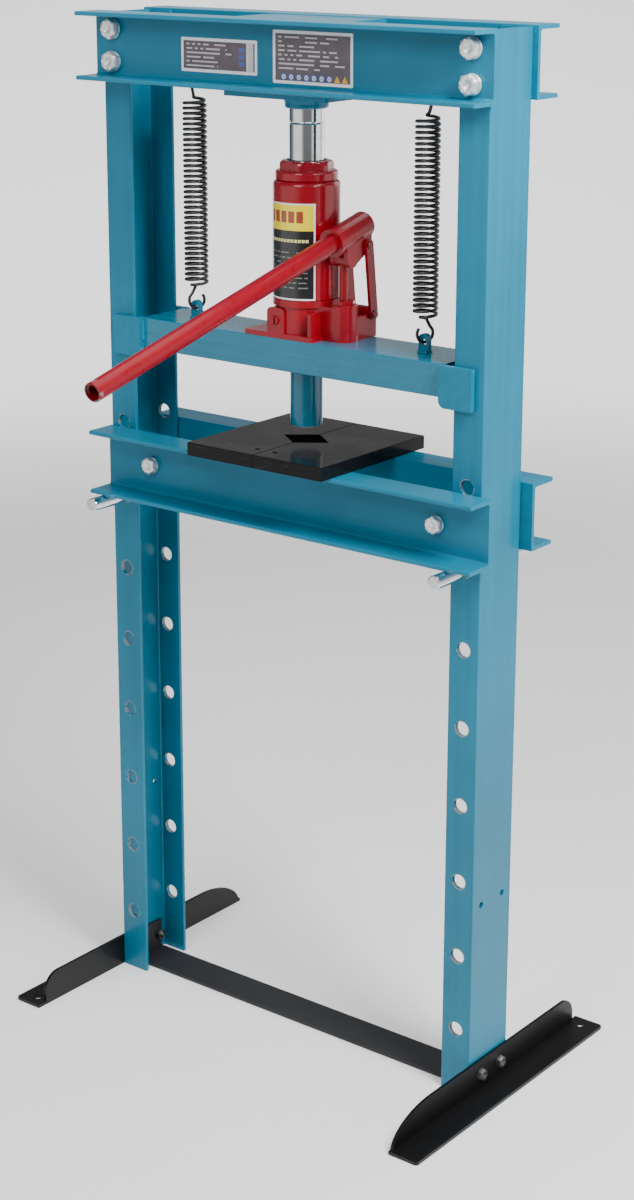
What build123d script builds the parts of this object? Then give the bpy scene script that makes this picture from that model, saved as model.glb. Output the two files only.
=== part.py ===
from build123d import *
import math
import os

# Hydraulic shop press: a bolted channel frame, a sprung press beam carrying a bottle
# jack, and an adjustable bed held on two pins.  Millimetres.  Origin on the floor midway
# between the columns, +X to the operator's right, -Y to the operator, +Z up.

# ---- channel sections -------------------------------------------------------------
SECTION_T = 5.0            # web and flange thickness of every channel
SECTION_ROOT_R = 3.0       # radius between web and flange
SECTION_EDGE_R = 1.2       # rounded outer edges
COLUMN_WEB = 80.0
COLUMN_FLANGE = 40.0
RAIL_WEB = 80.0            # head and bed channels
RAIL_FLANGE = 42.0

# ---- frame ------------------------------------------------------------------------
FRAME_W = 556.0            # over the column webs
COLUMN_H = 1248.0
RAIL_OVERHANG = 7.0        # rail ends beyond the column webs
HEAD_RISE = 2.0            # head channels above the column tops
HOLE_TOP_DROP = 499.6      # top pin hole below the column top
HOLE_LOWEST = 60.0         # no pin hole is lower than this
HOLE_PITCH = 95.2
HOLE_INSET = 20.0          # from the column's outer face
WEB_HOLE_D = 8.0
WEB_HOLE_Z = 242.0
WEB_HOLE_SPAN = 44.0
BOLT_CLEAR = 0.5           # bolt holes over bolt diameter
HEAD_BOLT_D = 14.0
HEAD_BOLT_AF = 22.0
HEAD_BOLT_SPAN = 38.0
TOP_PLATE = (165.0, 6.0)   # length, thickness
SEAT_PLATE = (150.0, 120.0, 8.0)
RING_CLEAR = 1.0           # radial, extension screw in the seat ring
RING_WALL = 4.0
RING_H = 14.0
ANCHOR_D = 8.0
ANCHOR_Z_UP = 6.0          # above the head channels' underside
SPRING_INSET = 108.0       # from the column's outer face

# ---- feet and brace ---------------------------------------------------------------
FOOT_LEG = 40.0
FOOT_T = 4.0
FOOT_HALF = 202.0          # half length
FOOT_NOSE = 79.0           # length of the curved nose of the upright leg
FOOT_HEEL = 14.0           # upright leg stops this much short of the other end
FOOT_HEEL_R = 24.0
ANCHOR_HOLE_D = 10.0
ANCHOR_HOLE_INSET = 16.0   # from the end of the foot
ANCHOR_HOLE_OUT = 17.0     # from the column web
FOOT_BOLT_D = 8.0
FOOT_BOLT_AF = 13.0
FOOT_BOLT_SPAN = 40.0
FOOT_BOLT_Z = 22.0
BRACE_W = 50.0
BRACE_T = 4.0
BRACE_TAB_H = 42.0

# ---- bed --------------------------------------------------------------------------
PIN_D = 17.0
PIN_CLEAR = 1.0            # pin holes over pin diameter
PIN_FRONT = 102.0          # front end of each pin ahead of the centre plane
PIN_REAR = 88.0
PIN_HOLES_ABOVE = 1        # pin holes left free above the bed pins
REST_GAP = 0.3             # running gap between pieces that rest on each other
BED_CLEAR = 1.5            # bed channels stand off the columns
BED_SHIFT = 8.0            # the bed floats sideways between the columns
BED_BOLT_INSET = 64.0      # from the column's outer face
BED_BOLT_D = 12.0
BED_BOLT_AF = 19.0
SPACER_WALL = 3.5
PLATE_SIZE = (100.0, 202.0, 16.0)
PLATE_SEAM = 0.4
NOTCH_DEPTH = 34.0         # along X, in each plate
NOTCH_WIDTH = 52.0         # along Y
PLATE_HOLE_D = 7.0
PLATE_HOLE_AT = (13.0, 25.0)    # from the seam, from the front edge

# ---- press beam -------------------------------------------------------------------
BEAM_DROP = 286.0          # beam top below the head channels
BEAM_H = 38.0
BEAM_T = 6.0
BEAM_END_GAP = 14.0        # beam end to column flange edge
GUIDE_CLEAR = 0.6          # guide plates stand off the column flanges
GUIDE_T = 7.0
GUIDE_OVER = 28.0          # guide plates overlap the flanges
GUIDE_H = 48.0
ROD_D = 38.6
ROD_REACH = 109.0          # push rod end below the beam top
COLLAR = (56.0, 8.0)       # diameter, height
EYE_W = 14.0
EYE_H = 22.0
EYE_T = 6.0
EYE_HOLE_D = 8.0
EYE_HOLE_UP = 12.0

# ---- head labels: centre X, height of the lower edge, width, height ----------------
LABELS = {
    "rating_label": (-93.0, 15.0, 114.0, 39.0),
    "instruction_label": (43.5, 8.5, 113.0, 59.0),
}

# ---- springs ----------------------------------------------------------------------
SPRING_OD = 30.0
SPRING_BELOW = 28.0        # coil body stops this far below the anchor centre
SPRING_ABOVE = 30.0        # coil body starts this far above the eye hole
HOOK_WIRE = 4.0

# ---- bottle jack ------------------------------------------------------------------
JACK_PLATE = (62.0, 38.0, 6.0)   # reach to -X, reach to +X, thickness
BODY_STEP = 2.5            # radial, casting inside the reservoir's outline
JACK_BASE_H = 46.0
TANK_OD = 79.0
TANK_WALL = 3.0
TANK_TOP_UP = 183.0        # jack heights are above the beam top
CAP_STEP = 3.0             # radial, cap inside the reservoir's outline
CAP_H = 11.0
GLAND_LAND = 4.0           # gland hexagon's half width over the cylinder bore's
GLAND_H = 11.0
GLAND_SKIRT = 18.0
CYL_WALL = 5.0
PISTON_STEP = 4.5          # radial, piston over the ram
CYL_FLOOR_UP = 12.0        # cylinder floor above the beam
RAM_D = 41.0
RAM_BORE = 26.4
RAM_BORE_DEPTH = 75.0
RAM_CLEAR = 0.1            # radial, ram in gland
RAM_PISTON_H = 20.0
RAM_FOOT_UP = 58.0
SEAL_W = 5.0
SCREW_PAD_H = 23.0
SCREW_INTO_RING = 7.0
SLIDE_CLEAR = 0.1          # radial, pistons in bores
LABEL_SWEEP = 106.0
LABEL_UP = (47.0, 159.0)
LABEL_T = 0.4

# ---- pump -------------------------------------------------------------------------
PUMP_GAP = 16.5            # pump centre beyond the reservoir's side
PUMP_Y = -2.0
PUMP_BOSS_D = 34.0
PUMP_BOSS_H = 42.0
PUMP_CYL_OD = 24.0
PUMP_COLLAR_H = 5.0
PUMP_CYL_BORE = 12.0
PLUNGER_D = 10.0
PLUNGER_FOOT_UP = 21.5
PLUNGER_SEAL_H = 6.0
PUMP_FLOOR_UP = 6.0        # pump cylinder floor above the beam
EYE_SLOT = (12.4, 10.2)    # plunger eye slot along Y, along Z
EYE_WALL = 3.2
EYE_OFFSET = (0.55, 0.6)   # slot centre from the piston pin at rest, along Y and Z
PIVOT_D = 8.0
PIVOT_CLEAR = 0.05
LINK_LOW_AT = (34.5, 27.5)      # Y, height of the fulcrum link's lower pin
LINK_TOP_AT = (24.5, 110.0)
PISTON_PIN_AT = (-2.0, 95.0)
LINK_W = 13.0
LINK_T = 4.0
CHEEK_GAP = 15.0           # between the socket's cheeks
CHEEK_T = 6.0
SIDE_GAP = 0.4
HANDLE_DOWN = 14.6         # degrees below horizontal, towards the operator
SOCKET_OD = 31.0
SOCKET_LIP = 1.25          # the mouth ring stands this proud
SOCKET_FRONT = 47.0        # socket mouth ahead of the link pin, along the handle
SOCKET_BACK = 20.0
SOCKET_RISE = 18.0         # socket centre line above the link pin
SOCKET_FLOOR = 6.0
HANDLE_OD = 22.0
HANDLE_WALL = 2.2
HANDLE_CLEAR = 0.4
HANDLE_REACH = 412.0       # beyond the socket mouth

# ---- small jack fittings ----------------------------------------------------------
VALVE_X = -15.0
VALVE_UP = 21.0
VALVE_D = 10.0
VALVE_BOSS_OUT = 3.0       # valve boss ahead of the casting
VALVE_BOSS = (25.0, 30.0)
PLUG_D = 9.0
PLUG_UP = 164.0

# ---- worked out -------------------------------------------------------------------
half_frame = FRAME_W / 2
head_top = COLUMN_H + HEAD_RISE
head_low = head_top - RAIL_WEB
hole_x = half_frame - HOLE_INSET
hole_d = PIN_D + PIN_CLEAR
hole_top = COLUMN_H - HOLE_TOP_DROP
hole_count = int((hole_top - HOLE_LOWEST) // HOLE_PITCH) + 1
hole_z = [hole_top - HOLE_PITCH * (hole_count - 1 - k) for k in range(hole_count)]
half_col = COLUMN_WEB / 2
rail_len = FRAME_W + 2 * RAIL_OVERHANG
pin_z = hole_z[-1 - PIN_HOLES_ABOVE] - PIN_CLEAR / 2 + REST_GAP
bed_low = pin_z + PIN_D / 2 + REST_GAP
bed_top = bed_low + RAIL_WEB
bed_web_y = half_col + BED_CLEAR
beam_half_y = half_col + GUIDE_CLEAR
beam_top = head_low - BEAM_DROP
beam_half_x = half_frame - COLUMN_FLANGE - BEAM_END_GAP
column_edge_x = half_frame - COLUMN_FLANGE
spring_x = half_frame - SPRING_INSET
bed_bolt_x = half_frame - BED_BOLT_INSET
jack_floor = beam_top
base_top = jack_floor + JACK_BASE_H
tank_top = beam_top + TANK_TOP_UP
cap_top = tank_top + CAP_H
jack_body_d = TANK_OD - 2 * BODY_STEP
cap_od = TANK_OD - 2 * CAP_STEP
cyl_bore = RAM_D + 2 * PISTON_STEP
cyl_od = cyl_bore + 2 * CYL_WALL
gland_af = cyl_bore + 2 * GLAND_LAND
ram_foot_z = beam_top + RAM_FOOT_UP
ring_bore = RAM_D + 2 * RING_CLEAR
ring_od = ring_bore + 2 * RING_WALL
pump_x = TANK_OD / 2 + PUMP_GAP
pump_boss_top = beam_top + PUMP_BOSS_H
plunger_foot_z = beam_top + PLUNGER_FOOT_UP
link_low = (LINK_LOW_AT[0], beam_top + LINK_LOW_AT[1])
link_top = (LINK_TOP_AT[0], beam_top + LINK_TOP_AT[1])
piston_pin = (PISTON_PIN_AT[0], beam_top + PISTON_PIN_AT[1])
valve_level = beam_top + VALVE_UP
valve_front = -(jack_body_d / 2 + VALVE_BOSS_OUT)
valve_back = -cyl_od / 2
plug_level = beam_top + PLUG_UP
gland_top = cap_top + GLAND_H
ring_low = head_low - SEAT_PLATE[2] - RING_H
pad_top = ring_low + SCREW_INTO_RING
pad_low = pad_top - SCREW_PAD_H
anchor_z = head_low + ANCHOR_Z_UP
eye_z = beam_top + EYE_HOLE_UP
os.makedirs("parts", exist_ok=True)


def block(x, y, z):
    """A box from three (low, high) pairs."""
    size = [high - low for low, high in (x, y, z)]
    middle = [(high + low) / 2 for low, high in (x, y, z)]
    return Pos(*middle) * Box(*size)


def upright(diameter, low, high, x=0.0, y=0.0):
    return Pos(x, y, (low + high) / 2) * Cylinder(diameter / 2, high - low)


def along_y(diameter, front, back, x, z):
    turn = Rot(90, 0, 0)
    return Pos(x, (front + back) / 2, z) * turn * Cylinder(diameter / 2, abs(back - front))


def along_x(diameter, left, right, y, z):
    turn = Rot(0, 90, 0)
    return Pos((left + right) / 2, y, z) * turn * Cylinder(diameter / 2, abs(right - left))


def hexagon_y(across_flats, front, back, x, z):
    profile = RegularPolygon(across_flats / 2, 6, major_radius=False, rotation=30)
    prism = extrude(profile, amount=abs(back - front))
    return Pos(x, max(front, back), z) * Rot(90, 0, 0) * prism


def hexagon_x(across_flats, left, right, y, z):
    profile = RegularPolygon(across_flats / 2, 6, major_radius=False)
    prism = extrude(profile, amount=abs(right - left))
    return Pos(min(left, right), y, z) * Rot(0, 90, 0) * prism


def group(pieces):
    return Compound(children=list(pieces))


def save(node, shape):
    export_step(shape, f"parts/{node}.step")


def channel_profile(web, flange, thickness):
    """A U section: web along Y centred on Y=0, back at X=0, flanges towards +X."""
    outer = Pos(flange / 2, 0) * Rectangle(flange, web)
    hollow_w = flange - thickness
    hollow = Pos(thickness + hollow_w / 2, 0) * Rectangle(hollow_w, web - 2 * thickness)
    section = outer - hollow
    corners = section.vertices()
    root = [v for v in corners if abs(v.X - thickness) < 0.01]
    section = fillet(root, SECTION_ROOT_R)
    rims = [v for v in section.vertices() if v.X < 0.01 or v.X > flange - 0.01]
    return fillet(rims, SECTION_EDGE_R)


def bolt_y(diameter, across, head_front, tip, x, z, sign):
    """A hexagon bolt along Y: sign -1 has its head at the operator's side."""
    head_h = across * 0.4
    head = hexagon_y(across, head_front + sign * head_h, head_front, x, z)
    rim = Pos(x, head_front + sign * head_h / 2, z) * Rot(90, 0, 0) * Cylinder(across * 0.56, head_h)
    rim = chamfer(rim.edges().filter_by(GeomType.CIRCLE), across * 0.03)
    return (head & rim) + along_y(diameter, head_front, tip, x, z)


def bolt_x(diameter, across, head_side, tip, y, z, sign):
    """A hexagon bolt along X: sign +1 has its head at the right-hand side."""
    head_h = across * 0.4
    head = hexagon_x(across, head_side + sign * head_h, head_side, y, z)
    return head + along_x(diameter, head_side, tip, y, z)


# ---- columns ----------------------------------------------------------------------
def column(side):
    profile = channel_profile(COLUMN_WEB, COLUMN_FLANGE, SECTION_T)
    body = extrude(profile, amount=COLUMN_H)
    for z in hole_z:
        body -= along_y(hole_d, -half_col - 1, half_col + 1, HOLE_INSET, z)
    for z in head_bolt_z():
        body -= along_y(HEAD_BOLT_D + BOLT_CLEAR, -half_col - 1, half_col + 1, HOLE_INSET, z)
    for y in (-WEB_HOLE_SPAN / 2, WEB_HOLE_SPAN / 2):
        body -= along_x(WEB_HOLE_D, -1, SECTION_T + 1, y, WEB_HOLE_Z)
    for y in (-FOOT_BOLT_SPAN / 2, FOOT_BOLT_SPAN / 2):
        body -= along_x(FOOT_BOLT_D + BOLT_CLEAR, -1, SECTION_T + 1, y, FOOT_BOLT_Z)
    turn = 0 if side < 0 else 180
    return Pos(side * half_frame, 0, 0) * Rot(0, 0, turn) * body


def head_bolt_z():
    middle = head_top - RAIL_WEB / 2
    return (middle - HEAD_BOLT_SPAN / 2, middle + HEAD_BOLT_SPAN / 2)


# ---- rails (head and bed channels) ------------------------------------------------
def rail(side, web_y, low, x_shift, hole_xs, hole_zs, hole_d):
    """A channel along X with its flanges pointing away from the columns."""
    profile = channel_profile(RAIL_WEB, RAIL_FLANGE, SECTION_T)
    start = (x_shift - rail_len / 2, side * web_y, low + RAIL_WEB / 2)
    plane = Plane(origin=start, x_dir=(0, side, 0), z_dir=(1, 0, 0))
    body = extrude(plane * profile, amount=rail_len)
    for x in hole_xs:
        for z in hole_zs:
            reach = web_y + SECTION_T + 1
            body -= along_y(hole_d, side * (web_y - 1), side * reach, x, z)
    return body


def make_frame():
    save("column_left", column(-1))
    save("column_right", column(1))
    for name, side in (("front", -1), ("rear", 1)):
        holes = (-hole_x, hole_x)
        hole_d = HEAD_BOLT_D + BOLT_CLEAR
        channel = rail(side, half_col, head_low, 0.0, holes, head_bolt_z(), hole_d)
        save(f"head_channel_{name}", channel)
    bolts, nuts, washers = [], [], []
    web_face = half_col + SECTION_T
    washer_t = 2.0
    flange_inside = half_col - SECTION_T
    for side in (-1, 1):
        for x in (-hole_x, hole_x):
            for z in head_bolt_z():
                head = side * (web_face + washer_t)
                tip = side * (flange_inside - 16)
                bolts.append(bolt_y(HEAD_BOLT_D, HEAD_BOLT_AF, head, tip, x, z, side))
                ring = along_y(HEAD_BOLT_AF + 2, side * web_face, head, x, z)
                washers.append(ring - along_y(HEAD_BOLT_D + 0.3, side * 30, side * 60, x, z))
                nut = hexagon_y(HEAD_BOLT_AF, side * flange_inside, side * (flange_inside - 11), x, z)
                nuts.append(nut - along_y(HEAD_BOLT_D + 0.1, side * 10, side * 60, x, z))
    save("head_bolts", group(bolts))
    save("head_washers", group(washers))
    save("head_nuts", group(nuts))
    half_plate = TOP_PLATE[0] / 2
    z_plate = (head_top - TOP_PLATE[1] - 1, head_top - 1)
    save("head_top_plate", block((-half_plate, half_plate), (-half_col, half_col), z_plate))
    seat_x, seat_y, seat_t = SEAT_PLATE
    seat = block((-seat_x / 2, seat_x / 2), (-seat_y / 2, seat_y / 2), (head_low - seat_t, head_low))
    save("head_seat_plate", fillet(seat.edges().filter_by(Axis.Z), 3))
    ring = upright(ring_od, ring_low, head_low - seat_t)
    ring = chamfer(ring.edges().group_by(Axis.Z)[0], 1.5)
    save("ram_seat_ring", ring - upright(ring_bore, ring_low - 1, head_low))
    for name, x in (("left", -spring_x), ("right", spring_x)):
        save(f"spring_anchor_{name}", along_y(ANCHOR_D, -half_col, half_col, x, anchor_z))


# ---- labels -----------------------------------------------------------------------
def make_labels():
    face = -half_col - SECTION_T
    depth = (face - LABEL_T, face)
    for name, (x, up, wide, tall) in LABELS.items():
        across = (x - wide / 2, x + wide / 2)
        save(name, block(across, depth, (head_low + up, head_low + up + tall)))


# ---- feet and brace ---------------------------------------------------------------
def foot(side):
    """An angle-iron foot.  Upright leg on the column web, flat leg outwards."""
    nose = -FOOT_HALF + 3
    heel = FOOT_HALF - FOOT_HEEL
    straight = nose + FOOT_NOSE
    curve = Pos(straight, 0) * Ellipse(FOOT_NOSE, FOOT_LEG)
    quarter = Pos(straight - FOOT_NOSE / 2, FOOT_LEG / 2) * Rectangle(FOOT_NOSE, FOOT_LEG)
    length = heel - straight
    outline = Pos(straight + length / 2, FOOT_LEG / 2) * Rectangle(length, FOOT_LEG)
    outline = fillet(outline.vertices().sort_by(Axis.Y)[-2:].sort_by(Axis.X)[-1], FOOT_HEEL_R)
    outline += curve & quarter
    upright_leg = extrude(Plane.YZ * outline, amount=FOOT_T)
    flat = block((0, FOOT_LEG), (-FOOT_HALF, FOOT_HALF), (0, FOOT_T))
    flat = fillet(flat.edges().filter_by(Axis.Z).sort_by(Axis.X)[-2:], 4)
    body = upright_leg + flat
    for y in (-FOOT_BOLT_SPAN / 2, FOOT_BOLT_SPAN / 2):
        body -= along_x(FOOT_BOLT_D + BOLT_CLEAR, -1, FOOT_T + 1, y, FOOT_BOLT_Z)
    body -= upright(ANCHOR_HOLE_D, -1, FOOT_T + 1, ANCHOR_HOLE_OUT, FOOT_HALF - ANCHOR_HOLE_INSET)
    body = Pos(half_frame, 0, 0) * body
    return body if side > 0 else Rot(0, 0, 180) * body


def make_base():
    save("foot_left", foot(-1))
    save("foot_right", foot(1))
    inside = half_frame - SECTION_T
    strip = block((-inside, inside), (-BRACE_W / 2, BRACE_W / 2), (0, BRACE_TAB_H))
    inner = inside - BRACE_T
    strip -= block((-inner, inner), (-BRACE_W, BRACE_W), (BRACE_T, BRACE_TAB_H + 1))
    bends = strip.edges().filter_by(Axis.Y).filter_by_position(Axis.Z, -0.1, 0.1)
    strip = fillet(bends, BRACE_T)
    for side in (-1, 1):
        for y in (-FOOT_BOLT_SPAN / 2, FOOT_BOLT_SPAN / 2):
            hole = (side * (inner - 1), side * (inside + 1))
            strip -= along_x(FOOT_BOLT_D + BOLT_CLEAR, *hole, y, FOOT_BOLT_Z)
    save("cross_brace", strip)
    bolts, nuts = [], []
    for side in (-1, 1):
        for y in (-FOOT_BOLT_SPAN / 2, FOOT_BOLT_SPAN / 2):
            head = side * (half_frame + FOOT_T)
            tip = side * (inner - 10)
            bolts.append(bolt_x(FOOT_BOLT_D, FOOT_BOLT_AF, head, tip, y, FOOT_BOLT_Z, side))
            nut = hexagon_x(FOOT_BOLT_AF, side * inner, side * (inner - 6.5), y, FOOT_BOLT_Z)
            hole = (side * (inner - 8), side * (inner + 1))
            nuts.append(nut - along_x(FOOT_BOLT_D + 0.1, *hole, y, FOOT_BOLT_Z))
    save("foot_bolts", group(bolts))
    save("foot_nuts", group(nuts))


# ---- bed --------------------------------------------------------------------------
def make_bed():
    middle = bed_low + RAIL_WEB / 2
    xs = (BED_SHIFT - bed_bolt_x, BED_SHIFT + bed_bolt_x)
    for name, side in (("front", -1), ("rear", 1)):
        hole_d = BED_BOLT_D + BOLT_CLEAR
        channel = rail(side, bed_web_y, bed_low, BED_SHIFT, xs, (middle,), hole_d)
        save(f"bed_channel_{name}", channel)
    spacers, bolts, nuts, washers = [], [], [], []
    bore = BED_BOLT_D + BOLT_CLEAR
    outer_face = bed_web_y + SECTION_T
    for x in xs:
        tube = along_y(bore + 2 * SPACER_WALL, -bed_web_y, bed_web_y, x, middle)
        spacers.append(tube - along_y(bore, -bed_web_y - 1, bed_web_y + 1, x, middle))
        head = -outer_face - 2
        bolts.append(bolt_y(BED_BOLT_D, BED_BOLT_AF, head, outer_face + 16, x, middle, -1))
        nut = hexagon_y(BED_BOLT_AF, outer_face + 2, outer_face + 12, x, middle)
        nuts.append(nut - along_y(BED_BOLT_D + 0.1, outer_face, outer_face + 20, x, middle))
        for side in (-1, 1):
            ring = along_y(BED_BOLT_AF + 4, side * outer_face, side * (outer_face + 2), x, middle)
            hole = (side * (outer_face - 1), side * (outer_face + 3))
            washers.append(ring - along_y(BED_BOLT_D + 0.3, *hole, x, middle))
    save("bed_spacers", group(spacers))
    save("bed_bolts", group(bolts))
    save("bed_nuts", group(nuts))
    save("bed_washers", group(washers))
    for name, side in (("left", -1), ("right", 1)):
        pin = along_y(PIN_D, -PIN_FRONT, PIN_REAR, side * hole_x, pin_z)
        save(f"bed_pin_{name}", chamfer(pin.edges().filter_by(GeomType.CIRCLE), 1.2))
        save(f"press_plate_{name}", press_plate(side))


def press_plate(side):
    length, depth, thick = PLATE_SIZE
    x = (PLATE_SEAM / 2, PLATE_SEAM / 2 + length)
    base = bed_top
    plate = block(x, (-depth / 2, depth / 2), (base, base + thick))
    plate = chamfer(plate.edges().group_by(Axis.Z)[-1], 0.8)
    with BuildSketch(Plane.XY.offset(base - 1)) as notch:
        with BuildLine():
            Polyline((0, -NOTCH_WIDTH / 2), (NOTCH_DEPTH, 0), (0, NOTCH_WIDTH / 2), close=True)
        make_face()
    plate -= extrude(notch.sketch, amount=thick + 2)
    hole_at = (PLATE_SEAM / 2 + PLATE_HOLE_AT[0], -depth / 2 + PLATE_HOLE_AT[1])
    plate -= upright(PLATE_HOLE_D, base - 1, base + thick + 1, *hole_at)
    return plate if side > 0 else mirror(plate, Plane.YZ)


# ---- press beam and its guides ----------------------------------------------------
def make_beam():
    profile = channel_profile(2 * beam_half_y, BEAM_H, BEAM_T)
    body = extrude(profile, amount=2 * beam_half_x)
    body = Pos(-beam_half_x, 0, beam_top) * Rot(0, 90, 0) * body
    save("press_beam", body)
    guides = []
    for side_x in (-1, 1):
        for side_y in (-1, 1):
            x = sorted((side_x * (beam_half_x - 2), side_x * (column_edge_x + GUIDE_OVER)))
            y = sorted((side_y * beam_half_y, side_y * (beam_half_y + GUIDE_T)))
            plate = block(x, y, (beam_top - GUIDE_H, beam_top))
            low = plate.edges().filter_by(Axis.Y).group_by(Axis.Z)[0].sort_by(Axis.X)
            plate = fillet(low[-1] if side_x < 0 else low[0], 9)
            guides.append(plate)
    save("guide_plates", group(guides))
    web_under = beam_top - BEAM_T
    rod = upright(ROD_D, beam_top - ROD_REACH, web_under)
    save("push_rod", chamfer(rod.edges().group_by(Axis.Z)[0], 1.5))
    collar = upright(COLLAR[0], web_under - COLLAR[1], web_under)
    save("push_rod_collar", collar - upright(ROD_D, web_under - COLLAR[1] - 1, web_under + 1))
    for name, x in (("left", -spring_x), ("right", spring_x)):
        save(f"spring_eye_{name}", spring_eye(x))


def spring_eye(x):
    """A welded lug with the spring's hook hole along Y."""
    lug = block((x - EYE_W / 2, x + EYE_W / 2), (-EYE_T / 2, EYE_T / 2), (beam_top, beam_top + EYE_H))
    top = lug.edges().filter_by(Axis.Y).group_by(Axis.Z)[-1]
    lug = fillet(top, EYE_W / 2 - 0.5)
    return lug - along_y(EYE_HOLE_D, -EYE_T, EYE_T, x, eye_z)


# ---- return springs ---------------------------------------------------------------
def return_spring(x):
    """The spring's outer shape: one coil body with a hook stem at each end."""
    low = eye_z + SPRING_ABOVE
    high = anchor_z - SPRING_BELOW
    body = upright(SPRING_OD, low, high, x)
    body = chamfer(body.edges().filter_by(GeomType.CIRCLE), 4)
    stem_top = upright(HOOK_WIRE, high - 1, anchor_z - ANCHOR_D / 2 - REST_GAP, x)
    stem_low = upright(HOOK_WIRE, beam_top + EYE_H + REST_GAP, low + 1, x)
    return body + stem_top + stem_low


# ---- bottle jack ------------------------------------------------------------------
def jack_base():
    left, right, thick = JACK_PLATE
    floor = jack_floor
    plate = block((-left, right), (-half_col, half_col), (floor, floor + thick))
    plate = fillet(plate.edges().filter_by(Axis.Z), 3)
    body = plate + upright(jack_body_d, floor, base_top)
    body += upright(TANK_OD, base_top - 8, base_top)
    boss = upright(PUMP_BOSS_D, floor, pump_boss_top, pump_x, PUMP_Y)
    half_boss = PUMP_BOSS_D / 2
    neck = block((0, pump_x), (PUMP_Y - half_boss, PUMP_Y + half_boss), (floor, pump_boss_top - 2))
    body += boss + neck
    valve_w, valve_h = VALVE_BOSS
    valve_z = (floor, valve_level + valve_h / 2)
    boss = block((VALVE_X - valve_w / 2, VALVE_X + valve_w / 2), (valve_front, 0), valve_z)
    body += fillet(boss.edges().filter_by(Axis.Y).group_by(Axis.Z)[-1], 6)
    body += block((right - 7, right - 2), (-half_col + 2, 0), (floor, floor + 33))
    lug_y, lug_z = link_low
    lug_half = CHEEK_GAP / 2 + CHEEK_T
    span = (pump_x - lug_half, pump_x + lug_half)
    body += block(span, (PUMP_Y, lug_y + 9), (floor, lug_z))
    body += along_x(18, *span, lug_y, lug_z)
    body -= along_x(PIVOT_D + 2 * PIVOT_CLEAR, span[0] - 1, span[1] + 1, lug_y, lug_z)
    body -= upright(cyl_od, floor + CYL_FLOOR_UP, base_top + 1)
    body -= upright(PUMP_CYL_OD - 4, floor + PUMP_FLOOR_UP, pump_boss_top + 1, pump_x, PUMP_Y)
    body -= along_y(VALVE_D + 1.0, valve_front - 1, valve_back + 0.5, VALVE_X, valve_level)
    return body


def make_jack():
    save("jack_base", jack_base())
    tank = upright(TANK_OD, base_top, tank_top)
    tank = fillet(tank.edges().group_by(Axis.Z)[-1], 5)
    tank -= upright(TANK_OD - 2 * TANK_WALL, base_top - 1, tank_top - 6)
    tank -= upright(cyl_od, tank_top - 8, tank_top + 1)
    tank -= along_y(PLUG_D - 0.4, TANK_OD / 2 - 6, TANK_OD / 2 + 2, 0, plug_level)
    save("jack_reservoir", tank)
    cap = upright(cap_od, tank_top, cap_top)
    cap = fillet(cap.edges().group_by(Axis.Z)[-1], 3)
    save("jack_reservoir_cap", cap - upright(cyl_od, tank_top - 1, cap_top + 1))
    floor = jack_floor + CYL_FLOOR_UP
    tube = upright(cyl_od, floor, cap_top)
    save("jack_cylinder", tube - upright(cyl_bore, floor - 1, cap_top + 1))
    make_gland()
    make_ram()
    make_pump()
    make_handle()
    make_fittings()


def make_gland():
    nut = extrude(RegularPolygon(gland_af / 2, 6, major_radius=False), amount=GLAND_H)
    nut = Pos(0, 0, cap_top) * Rot(0, 0, 22) * nut
    dome = upright(gland_af * 1.1, cap_top, gland_top)
    dome = fillet(dome.edges().group_by(Axis.Z)[-1], 3.5)
    nut = nut & dome
    nut += upright(cyl_bore, cap_top - GLAND_SKIRT, cap_top)
    nut -= upright(RAM_D + 2 * RAM_CLEAR, cap_top - GLAND_SKIRT - 1, gland_top + 1)
    wiper_z = (gland_top - SEAL_W, gland_top - 1)
    nut -= upright(RAM_D + 5, *wiper_z)
    save("gland_nut", nut)
    wiper = upright(RAM_D + 5, *wiper_z)
    save("gland_wiper", wiper - upright(RAM_D + 2 * RAM_CLEAR, wiper_z[0] - 1, wiper_z[1] + 1))


def make_ram():
    foot_top = ram_foot_z + RAM_PISTON_H
    ram = upright(RAM_D, foot_top, pad_low - 0.4)
    ram = chamfer(ram.edges().group_by(Axis.Z)[-1], 1.2)
    ram -= upright(RAM_BORE, pad_low - RAM_BORE_DEPTH, pad_low + 1)
    save("ram", ram)
    bore_d = cyl_bore - 2 * SLIDE_CLEAR
    seal_z = (ram_foot_z + 7, ram_foot_z + 7 + SEAL_W)
    piston = upright(bore_d, ram_foot_z, foot_top)
    groove = upright(bore_d + 1, *seal_z) - upright(bore_d - 8, *seal_z)
    save("ram_piston", piston - groove)
    seal = upright(bore_d, *seal_z)
    save("ram_seal", seal - upright(bore_d - 8, seal_z[0] - 1, seal_z[1] + 1))
    pad = upright(RAM_D, pad_low, pad_top)
    pad = chamfer(pad.edges().filter_by(GeomType.CIRCLE), 1.2)
    stem = upright(RAM_BORE - 0.4, pad_low - RAM_BORE_DEPTH + 8, pad_low)
    save("extension_screw", pad + stem)


def oval_x(x, size, y, z):
    """A round-ended block through X, longest along Y."""
    across = (size[0] - size[1]) / 2
    half = size[1] / 2
    oval = block(x, (y - across, y + across), (z - half, z + half))
    for dy in (-across, across):
        oval += along_x(size[1], x[0], x[1], y + dy, z)
    return oval


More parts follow.
